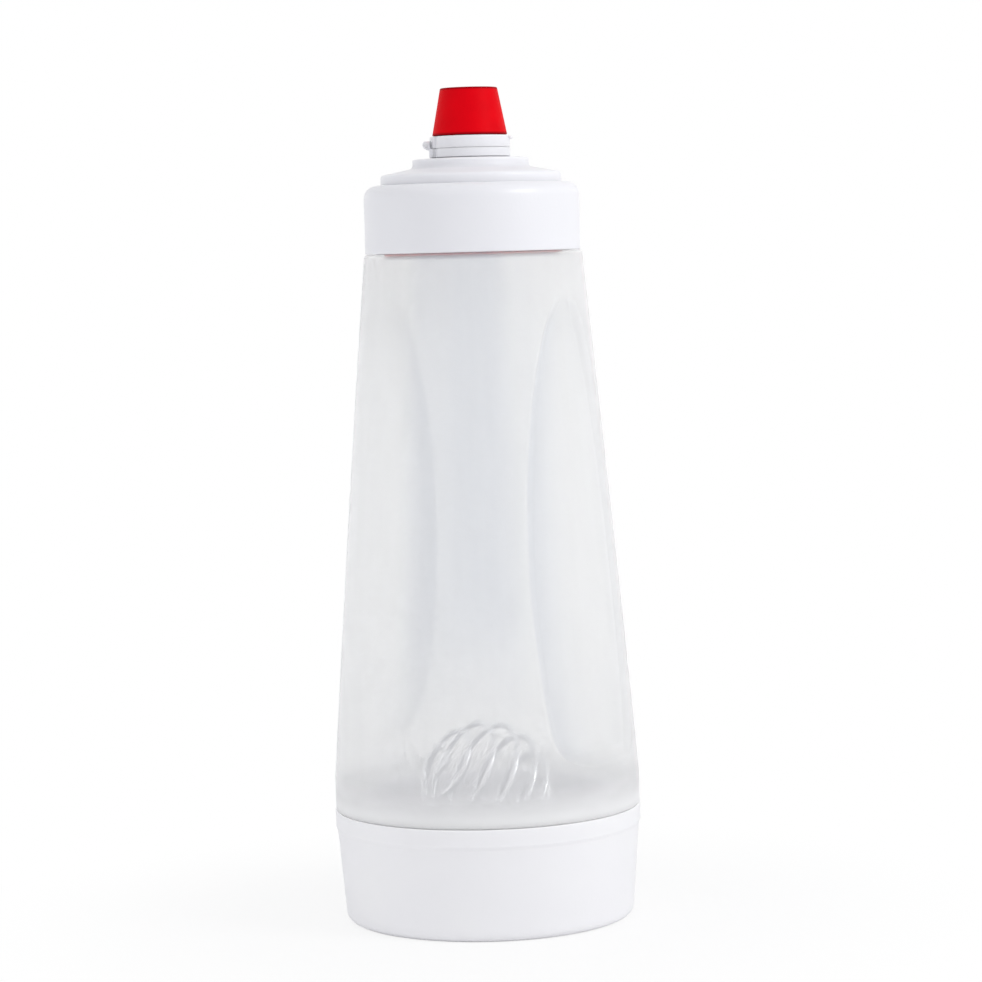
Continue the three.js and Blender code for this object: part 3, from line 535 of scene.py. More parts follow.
def steel_wire():
    """Metal with fine lines along the wire. They follow the piece's own attribute, whose X and Y are the
    direction round the wire and whose Z is the length along it in metres."""
    finish = Finish("steel_wire", {"Metallic": 1})
    wire = finish.node("ShaderNodeAttribute", {"attribute_name": "wire"}, output="Vector")
    lines = finish.noise(LINE_SIZE, stretch=LINE_STRETCH, detail=4, place=wire)
    cloud = finish.noise(STEEL_CLOUD_SIZE)
    finish.feed(finish.shader, {
        "Base Color": finish.between(cloud, STEEL_COLOUR, STEEL_TINT),
        "Roughness": spread(lines, *STEEL_ROUGHNESS),
    })
    finish.relief(lines, STEEL_RELIEF)
    return finish.material


steel = steel_wire()
print("finishes:", [material.name for material in bpy.data.materials])

# %% [markdown]
# ## From an outline to a surface
#
# Nearly every piece here is turned: an outline of radius and height, carried round the bottle's axis. The
# outline has only the corners that the shape needs, each with its fillet as a third number, and numpy splits
# it into short steps. Working on the whole grid at once also makes it easy to press or raise the surface: a
# screw thread or a groove is then a formula of angle and height, and the piece stays one closed skin.

# %% Outlines
ARC_STEP = radians(10)
LEAST_ARC_POINTS = 3
SAME_RADIUS = 0.01


def rounded(corners):
    """Points of an outline whose corners are (radius, height) or (radius, height, fillet), in millimetres.

    A fillet's centre lies on the line that halves the corner, at fillet / sin(half the corner's angle), and
    its ends at fillet / tan(half the angle) along the two sides."""
    points = []
    for i, (radius, height, *fillet) in enumerate(corners):
        corner = np.array([radius, height], float)
        if not fillet:
            points.append(corner)
            continue
        before = np.array(corners[i - 1][:2]) - corner
        after = np.array(corners[(i + 1) % len(corners)][:2]) - corner
        before /= np.linalg.norm(before)
        after /= np.linalg.norm(after)
        half = np.arccos(np.clip(before @ after, -1, 1)) / 2
        centre = corner + (before + after) / np.linalg.norm(before + after) * fillet[0] / sin(half)
        start = corner + before * fillet[0] / tan(half) - centre
        end = corner + after * fillet[0] / tan(half) - centre
        sweep = atan2(start[0] * end[1] - start[1] * end[0], start @ end)
        turn = np.linspace(0, sweep, max(LEAST_ARC_POINTS, ceil(abs(sweep) / ARC_STEP) + 1))[:, None]
        points += list(centre + np.cos(turn) * start + np.sin(turn) * np.array([-start[1], start[0]]))
    return np.array(points)


def lies_on(wall, radius):
    """Whether a radius is a wall's own, which tells the points on it from those beside it."""
    return np.abs(radius - wall) < SAME_RADIUS


def refined(points, longest, fine_radius=None, finest=None):
    """Splits each side of an outline into equal parts of at most the longest length.

    A side that runs along the fine radius has parts of at most the finest length. The side that closes an
    outline along the axis is left out."""
    ahead = np.roll(points, -1, axis=0) - points
    most = np.full(len(points), float(longest))
    if fine_radius is not None:
        on_wall = lies_on(fine_radius, points[:, 0])
        most[on_wall & np.roll(on_wall, -1)] = finest
    parts = np.maximum(1, np.ceil(np.linalg.norm(ahead, axis=1) / most).astype(int))
    if points[0, 0] == 0 and points[-1, 0] == 0:
        parts[-1] = 1
    first = np.repeat(np.cumsum(parts) - parts, parts)
    share = (np.arange(parts.sum()) - first) / np.repeat(parts, parts)
    return np.repeat(points, parts, axis=0) + np.repeat(ahead, parts, axis=0) * share[:, None]


def turned(outline, angles, offset=None):
    """Grid of points with x = r cos a, y = r sin a and z = height.

    r is the outline's radius plus offset(radius, height, angle), where an offset is given."""
    radius, height = outline[:, :1], outline[:, 1:]
    if offset is not None:
        radius = radius + offset(radius, height, angles)
    return np.stack(np.broadcast_arrays(radius * np.cos(angles), radius * np.sin(angles), height), axis=-1)


def even_angles(count):
    """One row of angles, evenly spaced round a whole turn."""
    return TAU * np.arange(count)[None, :] / count


def smooth(share):
    """0 below 0, 1 above 1, and 3 s^2 - 2 s^3 between."""
    share = np.clip(share, 0, 1)
    return share * share * (3 - 2 * share)


# %% Pieces
SHARP_EDGE = radians(38)
SAME_PLACE = 1e-7


def skin(name, grid, wrap_rows=True):
    """Mesh of a grid of points in millimetres, joined up round its columns and, if asked, over its rows."""
    index = np.arange(grid.shape[0] * grid.shape[1]).reshape(grid.shape[:2])
    beside = np.roll(index, -1, axis=1)
    quads = np.stack([index, beside, np.roll(beside, -1, axis=0), np.roll(index, -1, axis=0)], axis=-1)
    if not wrap_rows:
        quads = quads[:-1]
    mesh = bpy.data.meshes.new(name)
    mesh.from_pydata((grid * MM).reshape(-1, 3), [], quads.reshape(-1, 4).tolist())
    return mesh


def tidied(mesh):
    """Merges what lies at one place, such as a pole, and turns every face outwards."""
    shell = bmesh.new()
    shell.from_mesh(mesh)
    bmesh.ops.remove_doubles(shell, verts=shell.verts, dist=SAME_PLACE)
    bmesh.ops.recalc_face_normals(shell, faces=shell.faces)
    shell.to_mesh(mesh)
    shell.free()
    mesh.shade_smooth()
    mesh.set_sharp_from_angle(angle=SHARP_EDGE)


def piece(name, mesh, body, material, node):
    """Object at the origin that rides on a body and stands for a CAD node."""
    tidied(mesh)
    mesh.materials.append(material)
    made = bpy.data.objects.new(name, mesh)
    bpy.context.scene.collection.objects.link(made)
    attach(made, body)
    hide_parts(node)
    print(f"{name}: {len(mesh.polygons)} faces")
    return made


def spin(name, corners, body, slot, material, node, columns=160, longest=1.6, offset=None, **fine):
    """Turned piece from its corners."""
    outline = refined(rounded(corners), longest, **fine)
    closed = not (outline[0, 0] == 0 and outline[-1, 0] == 0)
    grid = turned(outline, even_angles(columns), offset)
    return piece(name, skin(name, grid, wrap_rows=closed), body, material, node)


# %% [markdown]
# ## Screw threads
#
# The base cup and the collar each turn on a coarse thread. A thread's ridge is a helix: its height climbs by
# one pitch for each turn, anticlockwise from above. The distance from a point to the ridge, measured up the
# wall, goes through a soft step to give the ridge its flanks. The two threads of a pair have the same
# pitch and stand half a pitch apart, so that one runs in the other's groove.

# %% Screw threads
THREAD_PITCH = 6.0
THREAD_DEPTH = 1.5
THREAD_HALF_WIDTH = 1.25
THREAD_FLANK = 0.7
THREAD_FADE = 1.6
THREAD_STEP = 0.4


def thread(height, angle, low, high, phase):
    """Ridge depth at a height and angle, between a low and a high end.

    The distance to the helix is the height less pitch * (angle / turn + phase), folded into half a pitch."""
    along = (height - low - THREAD_PITCH * (angle / TAU + phase)) % THREAD_PITCH
    away = np.minimum(along, THREAD_PITCH - along)
    ridge = smooth((THREAD_HALF_WIDTH - away) / THREAD_FLANK)
    ends = smooth((height - low) / THREAD_FADE) * smooth((high - height) / THREAD_FADE)
    return THREAD_DEPTH * ridge * ends


# %% [markdown]
# ## Base cup
#
# The cup is a plain tapered tub with a slightly proud band at its rim. Under its floor it is hollow, and it
# stands on a narrow ring. Inside, a second ring stands on the floor and plugs the bottle's skirt, and a flat
# gasket lies between the two. The thread is on the inside of the outer wall.

# %% Base cup
base_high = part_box("base_cup")[1] / MM
BASE_RIM = base_high.x
BASE_PLUG_TOP = base_high.z
BASE_BAND_STEP = 0.6
BASE_BAND_HEIGHT = 6.0
BASE_HEIGHT = 40.2
BASE_FOOT = BASE_RIM - 3.3
BASE_FOOT_INNER = BASE_FOOT - 4.2
BASE_INNER = BASE_RIM - 3.65
BASE_FLOOR_UNDER = 20.3
BASE_FLOOR_TOP = 22.3
BASE_HOLLOW_INSET = 2.0
BASE_HOLLOW_FILLET = 1.2
BASE_FOOT_FILLET = 3.2
PLUG_ROOT_FILLET = 2.0
PLUG_OUTER = 46.0
PLUG_INNER = 44.2
BASE_THREAD = {"low": 26.0, "high": 38.0, "phase": 0.5}
band_foot = BASE_HEIGHT - BASE_BAND_HEIGHT


def base_offset(radius, height, angle):
    """The cup's inner wall is raised inwards by its thread."""
    on_wall = lies_on(BASE_INNER, radius) & (height > BASE_FLOOR_TOP)
    return -thread(height, angle, **BASE_THREAD) * on_wall


spin("base_cup_shell", [
    (0, BASE_FLOOR_UNDER),
    (BASE_INNER - BASE_HOLLOW_INSET, BASE_FLOOR_UNDER, BASE_HOLLOW_FILLET),
    (BASE_FOOT_INNER, 0, 0.4),
    (BASE_FOOT, 0, BASE_FOOT_FILLET),
    (BASE_RIM - BASE_BAND_STEP, band_foot - 2 * BASE_BAND_STEP, 0.8),
    (BASE_RIM, band_foot, 0.8),
    (BASE_RIM, BASE_HEIGHT, 0.35),
    (BASE_INNER, BASE_HEIGHT, 0.8),
    (BASE_INNER, BASE_FLOOR_TOP),
    (PLUG_OUTER, BASE_FLOOR_TOP, 0.5),
    (PLUG_OUTER, BASE_PLUG_TOP, 0.5),
    (PLUG_INNER, BASE_PLUG_TOP, 0.5),
    (PLUG_INNER, BASE_FLOOR_TOP, PLUG_ROOT_FILLET),
    (0, BASE_FLOOR_TOP),
], "base", "white_plastic", white_foot, "base_cup",
    columns=200, offset=base_offset, fine_radius=BASE_INNER, finest=THREAD_STEP)

# %% Base gasket
gasket_low, gasket_high = (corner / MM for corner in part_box("base_gasket"))
GASKET_INNER = PLUG_OUTER + 0.4
spin("base_gasket_ring", [
    (GASKET_INNER, gasket_low.z, 0.5),
    (gasket_high.x, gasket_low.z, 0.5),
    (gasket_high.x, gasket_high.z, 0.5),
    (GASKET_INNER, gasket_high.z, 0.5),
], "base_carrier", "clear_silicone", milky_silicone, "base_gasket")

# %% [markdown]
# ## Bottle
#
# The wall is a straight taper that bows out slightly, from a crisp foot to a narrow shoulder. Two long grips
# are pressed into it: round at the foot, widest at the waist and drawn to a point near the shoulder.
# The grid's columns are crowded at the grip's edge and follow it up the wall, so that the edge is crisp with
# few faces. Where the surface is pressed in, the inner wall goes with it, as in a blown bottle.

# %% The bottle's wall and grips
body_low, body_high = (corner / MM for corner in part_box("bottle_body"))
BELLY_RADIUS = body_high.y
MOUTH = body_high.z
SKIRT_FOOT = body_low.z
SKIRT_RADIUS = 49.0
SKIRT_INNER = 46.6
BODY_FOOT = 40.3
BODY_FOOT_FILLET = 0.5
SHOULDER_FILLET = 1.2
BODY_WALL = 1.6
BELLY_HEIGHT = 52.0
SHOULDER_RADIUS = 38.85
SHOULDER_HEIGHT = 238.8
BODY_SWELL = 0.35
NECK_RADIUS = 34.0
NECK_INNER = 31.8
GRIP_FOOT = 58.0
GRIP_TOP = 226.0
GRIP_WAIST_SHARE = 0.4
GRIP_EDGE_ANGLE = radians(32.4)
GRIP_LEAST_ANGLE = radians(3)
GRIP_NARROWING_SHARE = 0.235
GRIP_NARROWING_POWER = 1.54
GRIP_FOOT_POWER = 16
GRIP_TAPER_POWER = 2.3
GRIP_POINT_POWER = 0.58
GRIP_DEPTH = 2.5
GRIP_HOLLOW = 0.9
GRIP_STEP = 4.0
GRIP_STEP_POWER = 1.5
GRIP_EDGE_ROUNDING = 0.4
# Painted shade inside each grip's edge: its width, and its share on the weaker side.
GRIP_SHADE = 24.0
GRIP_FAR_SHADE_SHARE = 0.25
GRIP_TOP_FADE = 14.0
GRIP_FOOT_FADE = 7.0
NECK_THREAD = {"low": 242.5, "high": 256.5, "phase": 0.0}
SKIRT_THREAD = {"low": 26.0, "high": 38.0, "phase": 0.0}


def body_radius(height):
    """Straight line from belly to shoulder, plus the swell times the sine of the share of the way."""
    share = np.clip((height - BELLY_HEIGHT) / (SHOULDER_HEIGHT - BELLY_HEIGHT), 0, 1)
    return BELLY_RADIUS + (SHOULDER_RADIUS - BELLY_RADIUS) * share + BODY_SWELL * np.sin(pi * share)


def grip_floor_angle(height):
    """Half the angle that a grip's floor spans, which is the angle to its edge less the step's width.

    Above the waist the angle to the edge shrinks as (1 - a^taper)^point, where a goes from 0 at the waist to
    1 at the top. Below it, as (1 - narrowing b^power) sqrt(1 - b^foot), where b goes from 0 at the waist to
    1 at the foot, which is a blunt round end."""
    share = np.clip((height - GRIP_FOOT) / (GRIP_TOP - GRIP_FOOT), 0, 1)
    above = np.clip((share - GRIP_WAIST_SHARE) / (1 - GRIP_WAIST_SHARE), 0, 1)
    below = np.clip(1 - share / GRIP_WAIST_SHARE, 0, 1)
    upper = (1 - above ** GRIP_TAPER_POWER) ** GRIP_POINT_POWER
    narrowed = 1 - GRIP_NARROWING_SHARE * below ** GRIP_NARROWING_POWER
    lower = narrowed * np.sqrt(1 - below ** GRIP_FOOT_POWER)
    edge = GRIP_EDGE_ANGLE * np.where(above > 0, upper, lower)
    return np.maximum(GRIP_LEAST_ANGLE, edge - GRIP_STEP / body_radius(height))


def grip_press(height, off_middle):
    """How far the wall is pressed in, at an angle off the middle of the nearer grip, and its painted shade.

    u is the distance inside the grip's edge, softened to (u + sqrt(u^2 + rounding^2)) / 2. The depth grows
    as 1 - (1 - u / step)^power up to the step's width, and the floor sinks a little more towards its middle.
    The painted shade is greatest just inside the edge and falls to nothing over a width of its own."""
    half = grip_floor_angle(height)
    inside = (half - np.abs(off_middle)) * body_radius(height) + GRIP_STEP
    inside = (inside + np.sqrt(inside ** 2 + GRIP_EDGE_ROUNDING ** 2)) / 2
    left = 1 - np.clip(inside / GRIP_STEP, 0, 1)
    shade = smooth(1 - inside / GRIP_SHADE) * smooth(inside / GRIP_EDGE_ROUNDING - 0.5)
    hollow = np.clip(1 - (off_middle / half) ** 2, 0, 1)
    fade = smooth((height - GRIP_FOOT) / GRIP_FOOT_FADE) * smooth((GRIP_TOP - height) / GRIP_TOP_FADE)
    return fade * (GRIP_DEPTH * (1 - left ** GRIP_STEP_POWER) + GRIP_HOLLOW * hollow), fade * shade


waist = GRIP_FOOT + GRIP_WAIST_SHARE * (GRIP_TOP - GRIP_FOOT)
print("bottle's radius at the grips' waist in mm:", round(float(body_radius(waist)), 2))

# %% The bottle's grid
FLOOR_COLUMNS = 10
STEP_COLUMNS = 10
PANEL_COLUMNS = 28
PANEL_CROWDING = 1.3
SIDE_ROW = 1.6
LONGEST_ROW = 1.1 * SIDE_ROW
GRIP_END_ROW = 0.6
GRIP_END_REACH = 6.0
INNER_FOOT_RISE = 4.0
INNER_FOOT_FILLET = 3.0
INNER_SKIRT_FILLET = 2.0
INNER_SHOULDER_FILLET = 1.0


def grip_columns(height):
    """Angles of the columns round the bottle at each height, and each column's angle off its grip's middle.

    A quarter runs from the middle of a grip over its step to the middle of the panel beside it, and is then
    mirrored and repeated."""
    half = grip_floor_angle(height)
    step = GRIP_STEP / body_radius(height)
    floor = half * np.linspace(0, 1, FLOOR_COLUMNS, endpoint=False)
    over = half + step * np.linspace(0, 1, STEP_COLUMNS, endpoint=False)
    share = np.linspace(0, 1, PANEL_COLUMNS + 1) ** PANEL_CROWDING
    panel = half + step + (pi / 2 - half - step) * share
    quarter = np.concatenate([floor, over, panel], axis=1)
    mirrored = quarter[:, 1:-1][:, ::-1]
    off_middle = np.concatenate([quarter, mirrored, quarter, mirrored], axis=1)
    angle = np.concatenate([quarter, pi - mirrored, pi + quarter, TAU - mirrored], axis=1)
    return angle, off_middle


def bottle_grid():
    """Closed outline of the wall, carried round the grip's columns, with the grips and threads in it.

    Rows lie closer together where a grip ends. With the points come the painted shade inside the grips'
    edges and which rows are on the outside: those up to the mouth, since the outline climbs the outside
    first. One side of each grip has less of the painted shade: its share falls with the sine of twice the
    angle."""
    grip_ends = (GRIP_FOOT + GRIP_END_REACH, GRIP_TOP - GRIP_END_REACH)
    heights = np.concatenate([
        np.arange(BELLY_HEIGHT + SIDE_ROW, GRIP_FOOT - GRIP_END_ROW, SIDE_ROW),
        np.arange(GRIP_FOOT - GRIP_END_ROW, grip_ends[0], GRIP_END_ROW),
        np.arange(grip_ends[0], grip_ends[1], SIDE_ROW),
        np.arange(grip_ends[1], GRIP_TOP + GRIP_END_ROW, GRIP_END_ROW),
        np.arange(GRIP_TOP + SIDE_ROW, SHOULDER_HEIGHT - 2.5 * SIDE_ROW, SIDE_ROW),
    ])
    outer = [(radius, height) for radius, height in zip(body_radius(heights), heights)]
    inner = [(radius - BODY_WALL, height) for radius, height in reversed(outer)]
    corners = [
        (SKIRT_INNER, SKIRT_FOOT, 0.4),
        (SKIRT_RADIUS, SKIRT_FOOT, 0.6),
        (SKIRT_RADIUS, BODY_FOOT, 0.5),
        (BELLY_RADIUS, BODY_FOOT, BODY_FOOT_FILLET),
        (BELLY_RADIUS, BELLY_HEIGHT),
        *outer,
        (SHOULDER_RADIUS, SHOULDER_HEIGHT, SHOULDER_FILLET),
        (NECK_RADIUS, SHOULDER_HEIGHT, 0.8),
        (NECK_RADIUS, MOUTH, 0.5),
        (NECK_INNER, MOUTH, 0.5),
        (NECK_INNER, SHOULDER_HEIGHT - BODY_WALL, INNER_SHOULDER_FILLET),
        (SHOULDER_RADIUS - BODY_WALL, SHOULDER_HEIGHT - BODY_WALL, INNER_SHOULDER_FILLET),
        *inner,
        (BELLY_RADIUS - BODY_WALL, BELLY_HEIGHT),
        (BELLY_RADIUS - BODY_WALL, BODY_FOOT + INNER_FOOT_RISE, INNER_FOOT_FILLET),
        (SKIRT_INNER, BODY_FOOT, INNER_SKIRT_FILLET),
    ]
    outline = refined(rounded(corners), LONGEST_ROW)
    for radius in (NECK_RADIUS, SKIRT_RADIUS):
        outline = refined(outline, LONGEST_ROW, fine_radius=radius, finest=THREAD_STEP)
    radius, height = outline[:, :1], outline[:, 1:]
    angle, off_middle = grip_columns(height)
    ridge = thread(height, angle, **NECK_THREAD) * lies_on(NECK_RADIUS, radius)
    ridge += thread(height, angle, **SKIRT_THREAD) * lies_on(SKIRT_RADIUS, radius)
    # The second value is painted shade inside the grips' edges, weaker on one side of each grip.
    depth, thick = grip_press(height, off_middle)
    thick = thick * (GRIP_FAR_SHADE_SHARE + (1 - GRIP_FAR_SHADE_SHARE) * smooth(0.5 - np.sin(2 * angle)))
    outside = np.arange(len(outline))[:, None] <= np.argmax(height)
    return turned(outline, angle, lambda r, z, a: ridge - depth), thick * outside, outside + 0 * thick


def bottle_mesh():
    """Mesh of the grid, with an attribute for the painted shade inside the grips' edges and one for the
    outside.
    """
    grid, *marks = bottle_grid()
    mesh = skin("bottle_shell", grid)
    for name, mark in zip(("grip_painted_shade", "outside"), marks):
        attribute = mesh.attributes.new(name, "FLOAT", "POINT")
        attribute.data.foreach_set("value", mark.astype(np.float32).ravel())
    return mesh


piece("bottle_shell", bottle_mesh(), "bottle", frosted, "bottle_body")

# %% [markdown]
# ## Wire ball
#
# The ball is one length of steel wire, wound in a spiral on a sphere from pole to pole. A point of the path
# has its polar angle even in its share of the length, so the turns are evenly spaced. The path lies on the
# sphere, so the sphere's own radius is square to it everywhere, and makes the tube's frame with the path's
# direction. The last few rows draw in to close each end as a half ball.

# %% Wire ball
WIRE_RADIUS = 1.2
BALL_RADIUS = 24.0
BALL_TURNS = 7
BALL_END_ANGLE = radians(12)
BALL_AXIS = Vector((-0.34, -0.83, 0.44)).normalized()
BALL_OFFSET = (-0.6, -0.4)
SEAT_GAP = 0.3  # between a piece and the one that it rests on
WIRE_STEPS = 96
WIRE_SIDES = 18
END_ROWS = 6


def wire_grid():
    """Tube round the spiral, and for each point its direction round the wire and the length along it."""
    share = np.linspace(0, 1, BALL_TURNS * WIRE_STEPS + 1)
    polar = BALL_END_ANGLE + (pi - 2 * BALL_END_ANGLE) * share
    turn = TAU * BALL_TURNS * share
    outward = np.stack([np.sin(polar) * np.sin(turn), np.cos(polar), np.sin(polar) * np.cos(turn)], axis=1)
    path = outward * (BALL_RADIUS - WIRE_RADIUS)
    along = np.gradient(path, axis=0)
    length = np.concatenate([[0], np.cumsum(np.linalg.norm(np.diff(path, axis=0), axis=1))])
    along /= np.linalg.norm(along, axis=1)[:, None]
    close = np.linspace(pi / 2, 0, END_ROWS + 1)[:-1]
    begin, end = np.zeros(END_ROWS, int), np.full(END_ROWS, len(path) - 1)
    row = np.concatenate([begin, np.arange(len(path)), end])
    past = WIRE_RADIUS * np.concatenate([-np.sin(close), np.zeros(len(path)), np.sin(close[::-1])])
    thick = WIRE_RADIUS * np.concatenate([np.cos(close), np.ones(len(path)), np.cos(close[::-1])])
    middle = path[row] + along[row] * past[:, None]
    across = np.cross(along[row], outward[row])
    angle = even_angles(WIRE_SIDES)[..., None]
    round_wire = np.cos(angle) * outward[row][:, None] + np.sin(angle) * across[:, None]
    grid = middle[:, None] + thick[:, None, None] * round_wire
    flat = angle[..., 0]
    mark = np.broadcast_arrays(np.cos(flat), np.sin(flat), ((length[row] + past) * MM)[:, None])
    return grid, np.stack(mark, axis=-1)


def wire_mesh():
    """Mesh of the tube, stood up on its own axis and set on the base cup's floor, with its attribute."""
    grid, mark = wire_grid()
    stand = np.array(Vector((0, 1, 0)).rotation_difference(BALL_AXIS).to_matrix())
    centre = np.array([*BALL_OFFSET, BASE_FLOOR_TOP + SEAT_GAP + BALL_RADIUS])
    mesh = skin("whisk_wire", grid @ stand.T + centre, wrap_rows=False)
    wire = mesh.attributes.new("wire", "FLOAT_VECTOR", "POINT")
    wire.data.foreach_set("vector", mark.astype(np.float32).ravel())
    return mesh


piece("whisk_wire", wire_mesh(), "ball", steel, "whisk_ball")

# %% [markdown]
# ## Collar
#
# The collar is a smooth white ring with a large round at its top edge and a small one at its foot. Its top
# reaches in over the dome's flange, and the thread inside it draws the dome down onto the bottle's mouth.

# %% Collar
collar_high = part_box("collar_ring")[1] / MM
COLLAR_RADIUS = collar_high.x
COLLAR_INNER = COLLAR_RADIUS - 2.2
COLLAR_OPENING = 32.6
COLLAR_WEB_FOOT = collar_high.z - 3.2
COLLAR_FOOT = SHOULDER_HEIGHT + 0.2
COLLAR_TOP_FILLET = 4.6
COLLAR_THREAD = {"low": 242.5, "high": 256.5, "phase": 0.5}


def collar_offset(radius, height, angle):
    """The collar's inner wall is raised inwards by its thread."""
    return -thread(height, angle, **COLLAR_THREAD) * lies_on(COLLAR_INNER, radius)


spin("collar_shell", [
    (COLLAR_INNER, COLLAR_FOOT, 0.5),
    (COLLAR_RADIUS, COLLAR_FOOT, 0.6),
    (COLLAR_RADIUS, collar_high.z, COLLAR_TOP_FILLET),
    (COLLAR_OPENING, collar_high.z, 0.5),
    (COLLAR_OPENING, COLLAR_WEB_FOOT, 0.3),
    (COLLAR_INNER, COLLAR_WEB_FOOT, 0.5),
], "collar", "white_plastic", white, "collar_ring",
    columns=200, offset=collar_offset, fine_radius=COLLAR_INNER, finest=THREAD_STEP)

# %% [markdown]
# ## Dome
#
# Under the collar the dome has a flange and a long plug, with a red gasket in a groove near its lower end.
# Above, it steps in twice to the spout's tube, which holds the valve. A small bead round the tube keeps the
# tip's ring from coming off.

# %% Dome
dome_low, dome_high = (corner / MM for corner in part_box("spout_dome"))
FLANGE_RADIUS = dome_high.x
FLANGE_FOOT = MOUTH + SEAT_GAP
FLANGE_TOP = FLANGE_FOOT + 1.9
DOME_WALL = 1.8
PLUG_RADIUS = NECK_INNER - 0.6
GROOVE_RADIUS = PLUG_RADIUS - 1
GROOVE_FOOT = dome_low.z + 1.2
GROOVE_TOP = GROOVE_FOOT + 2.6
TIER_ONE_RADIUS = 32.2
TIER_ONE_TOP = FLANGE_TOP + 7.0
TIER_ONE_FILLET = 1.4
TIER_TWO_RADIUS = 20.7
TIER_TWO_FOOT = TIER_ONE_TOP + 2.3
TIER_TWO_TOP = TIER_TWO_FOOT + 3.1
TIER_TWO_FOOT_FILLET = 1.6
TIER_TWO_FILLET = 0.7
DOME_TOP = TIER_TWO_TOP + 0.5
TUBE_RADIUS = 11.0
TUBE_INNER = 9.3
TUBE_TOP = dome_high.z
BEAD_FOOT = DOME_TOP + 1.5
BEAD_TOP = BEAD_FOOT + 0.9
BEAD_PROUD = 0.3
LEDGE_INNER = 6.8
LEDGE_FOOT = DOME_TOP - 4.3
LEDGE_TOP = LEDGE_FOOT + 1.3

spin("dome_shell", [
    (PLUG_RADIUS - DOME_WALL, dome_low.z, 0.4),
    (PLUG_RADIUS, dome_low.z, 0.4),
    (PLUG_RADIUS, GROOVE_FOOT, 0.2),
    (GROOVE_RADIUS, GROOVE_FOOT, 0.2),
    (GROOVE_RADIUS, GROOVE_TOP, 0.2),
    (PLUG_RADIUS, GROOVE_TOP, 0.2),
    (PLUG_RADIUS, FLANGE_FOOT, 0.5),
    (FLANGE_RADIUS, FLANGE_FOOT, 0.3),
    (FLANGE_RADIUS, FLANGE_TOP, 0.5),
    (TIER_ONE_RADIUS, FLANGE_TOP, 0.3),
    (TIER_ONE_RADIUS, TIER_ONE_TOP, TIER_ONE_FILLET),
    (TIER_TWO_RADIUS, TIER_TWO_FOOT, TIER_TWO_FOOT_FILLET),
    (TIER_TWO_RADIUS, TIER_TWO_TOP, TIER_TWO_FILLET),
    (TUBE_RADIUS, DOME_TOP, 0.4),
    (TUBE_RADIUS, BEAD_FOOT),
    (TUBE_RADIUS + BEAD_PROUD, (BEAD_FOOT + BEAD_TOP) / 2, 0.2),
    (TUBE_RADIUS, BEAD_TOP),
    (TUBE_RADIUS, TUBE_TOP, 0.3),
    (TUBE_INNER, TUBE_TOP, 0.3),
    (TUBE_INNER, LEDGE_TOP, 0.3),
    (LEDGE_INNER, LEDGE_TOP, 0.3),
    (LEDGE_INNER, LEDGE_FOOT, 0.3),
    (TUBE_RADIUS, LEDGE_FOOT, 0.5),
    (TUBE_RADIUS, DOME_TOP - DOME_WALL, 1),
    (TIER_TWO_RADIUS - DOME_WALL, TIER_TWO_TOP - DOME_WALL, 0.6),
    (TIER_TWO_RADIUS - DOME_WALL, TIER_TWO_FOOT - DOME_WALL, 0.5),
    (TIER_ONE_RADIUS - DOME_WALL, TIER_ONE_TOP - DOME_WALL, 0.8),
    (TIER_ONE_RADIUS - DOME_WALL, FLANGE_TOP, 0.5),
    (PLUG_RADIUS - DOME_WALL, FLANGE_FOOT, 0.5),
], "top", "white_plastic", white, "spout_dome", columns=180, longest=1.4)

# %% Plug gasket
ring_low, ring_high = (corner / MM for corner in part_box("plug_gasket"))
RING_INNER = GROOVE_RADIUS + SEAT_GAP
spin("plug_gasket_ring", [
    (RING_INNER, ring_low.z, 0.3),
    (ring_high.x, ring_low.z, 0.45),
    (ring_high.x, ring_high.z, 0.45),
    (RING_INNER, ring_high.z, 0.3),
], "top", "red_silicone", red_silicone, "plug_gasket")

# %% [markdown]
# ## Spout
#
# Inside the tube lie the valve, a slit silicone dome that opens when the bottle is squeezed, and the ring
# that holds it down. The valve keeps its CAD solid, because its cross slit is already in it. Over the tube
# comes the silicone tip, and a ring snaps over the bead and holds the tip by its flange.

# %% Valve, retainer and tip
frame["nodes"]["flow_valve"].data.materials.clear()
frame["nodes"]["flow_valve"].data.materials.append(milky_silicone)

retainer_low, retainer_high = (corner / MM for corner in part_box("valve_retainer"))
RETAINER_RADIUS = TUBE_INNER - SEAT_GAP
RETAINER_INNER = RETAINER_RADIUS - 1.6
spin("valve_retainer_ring", [
    (RETAINER_INNER, retainer_low.z, 0.3),
    (RETAINER_RADIUS, retainer_low.z, 0.3),
    (RETAINER_RADIUS, retainer_high.z, 0.3),
    (RETAINER_INNER, retainer_high.z, 0.3),
], "top", "white_plastic", white, "valve_retainer", columns=96, longest=0.8)

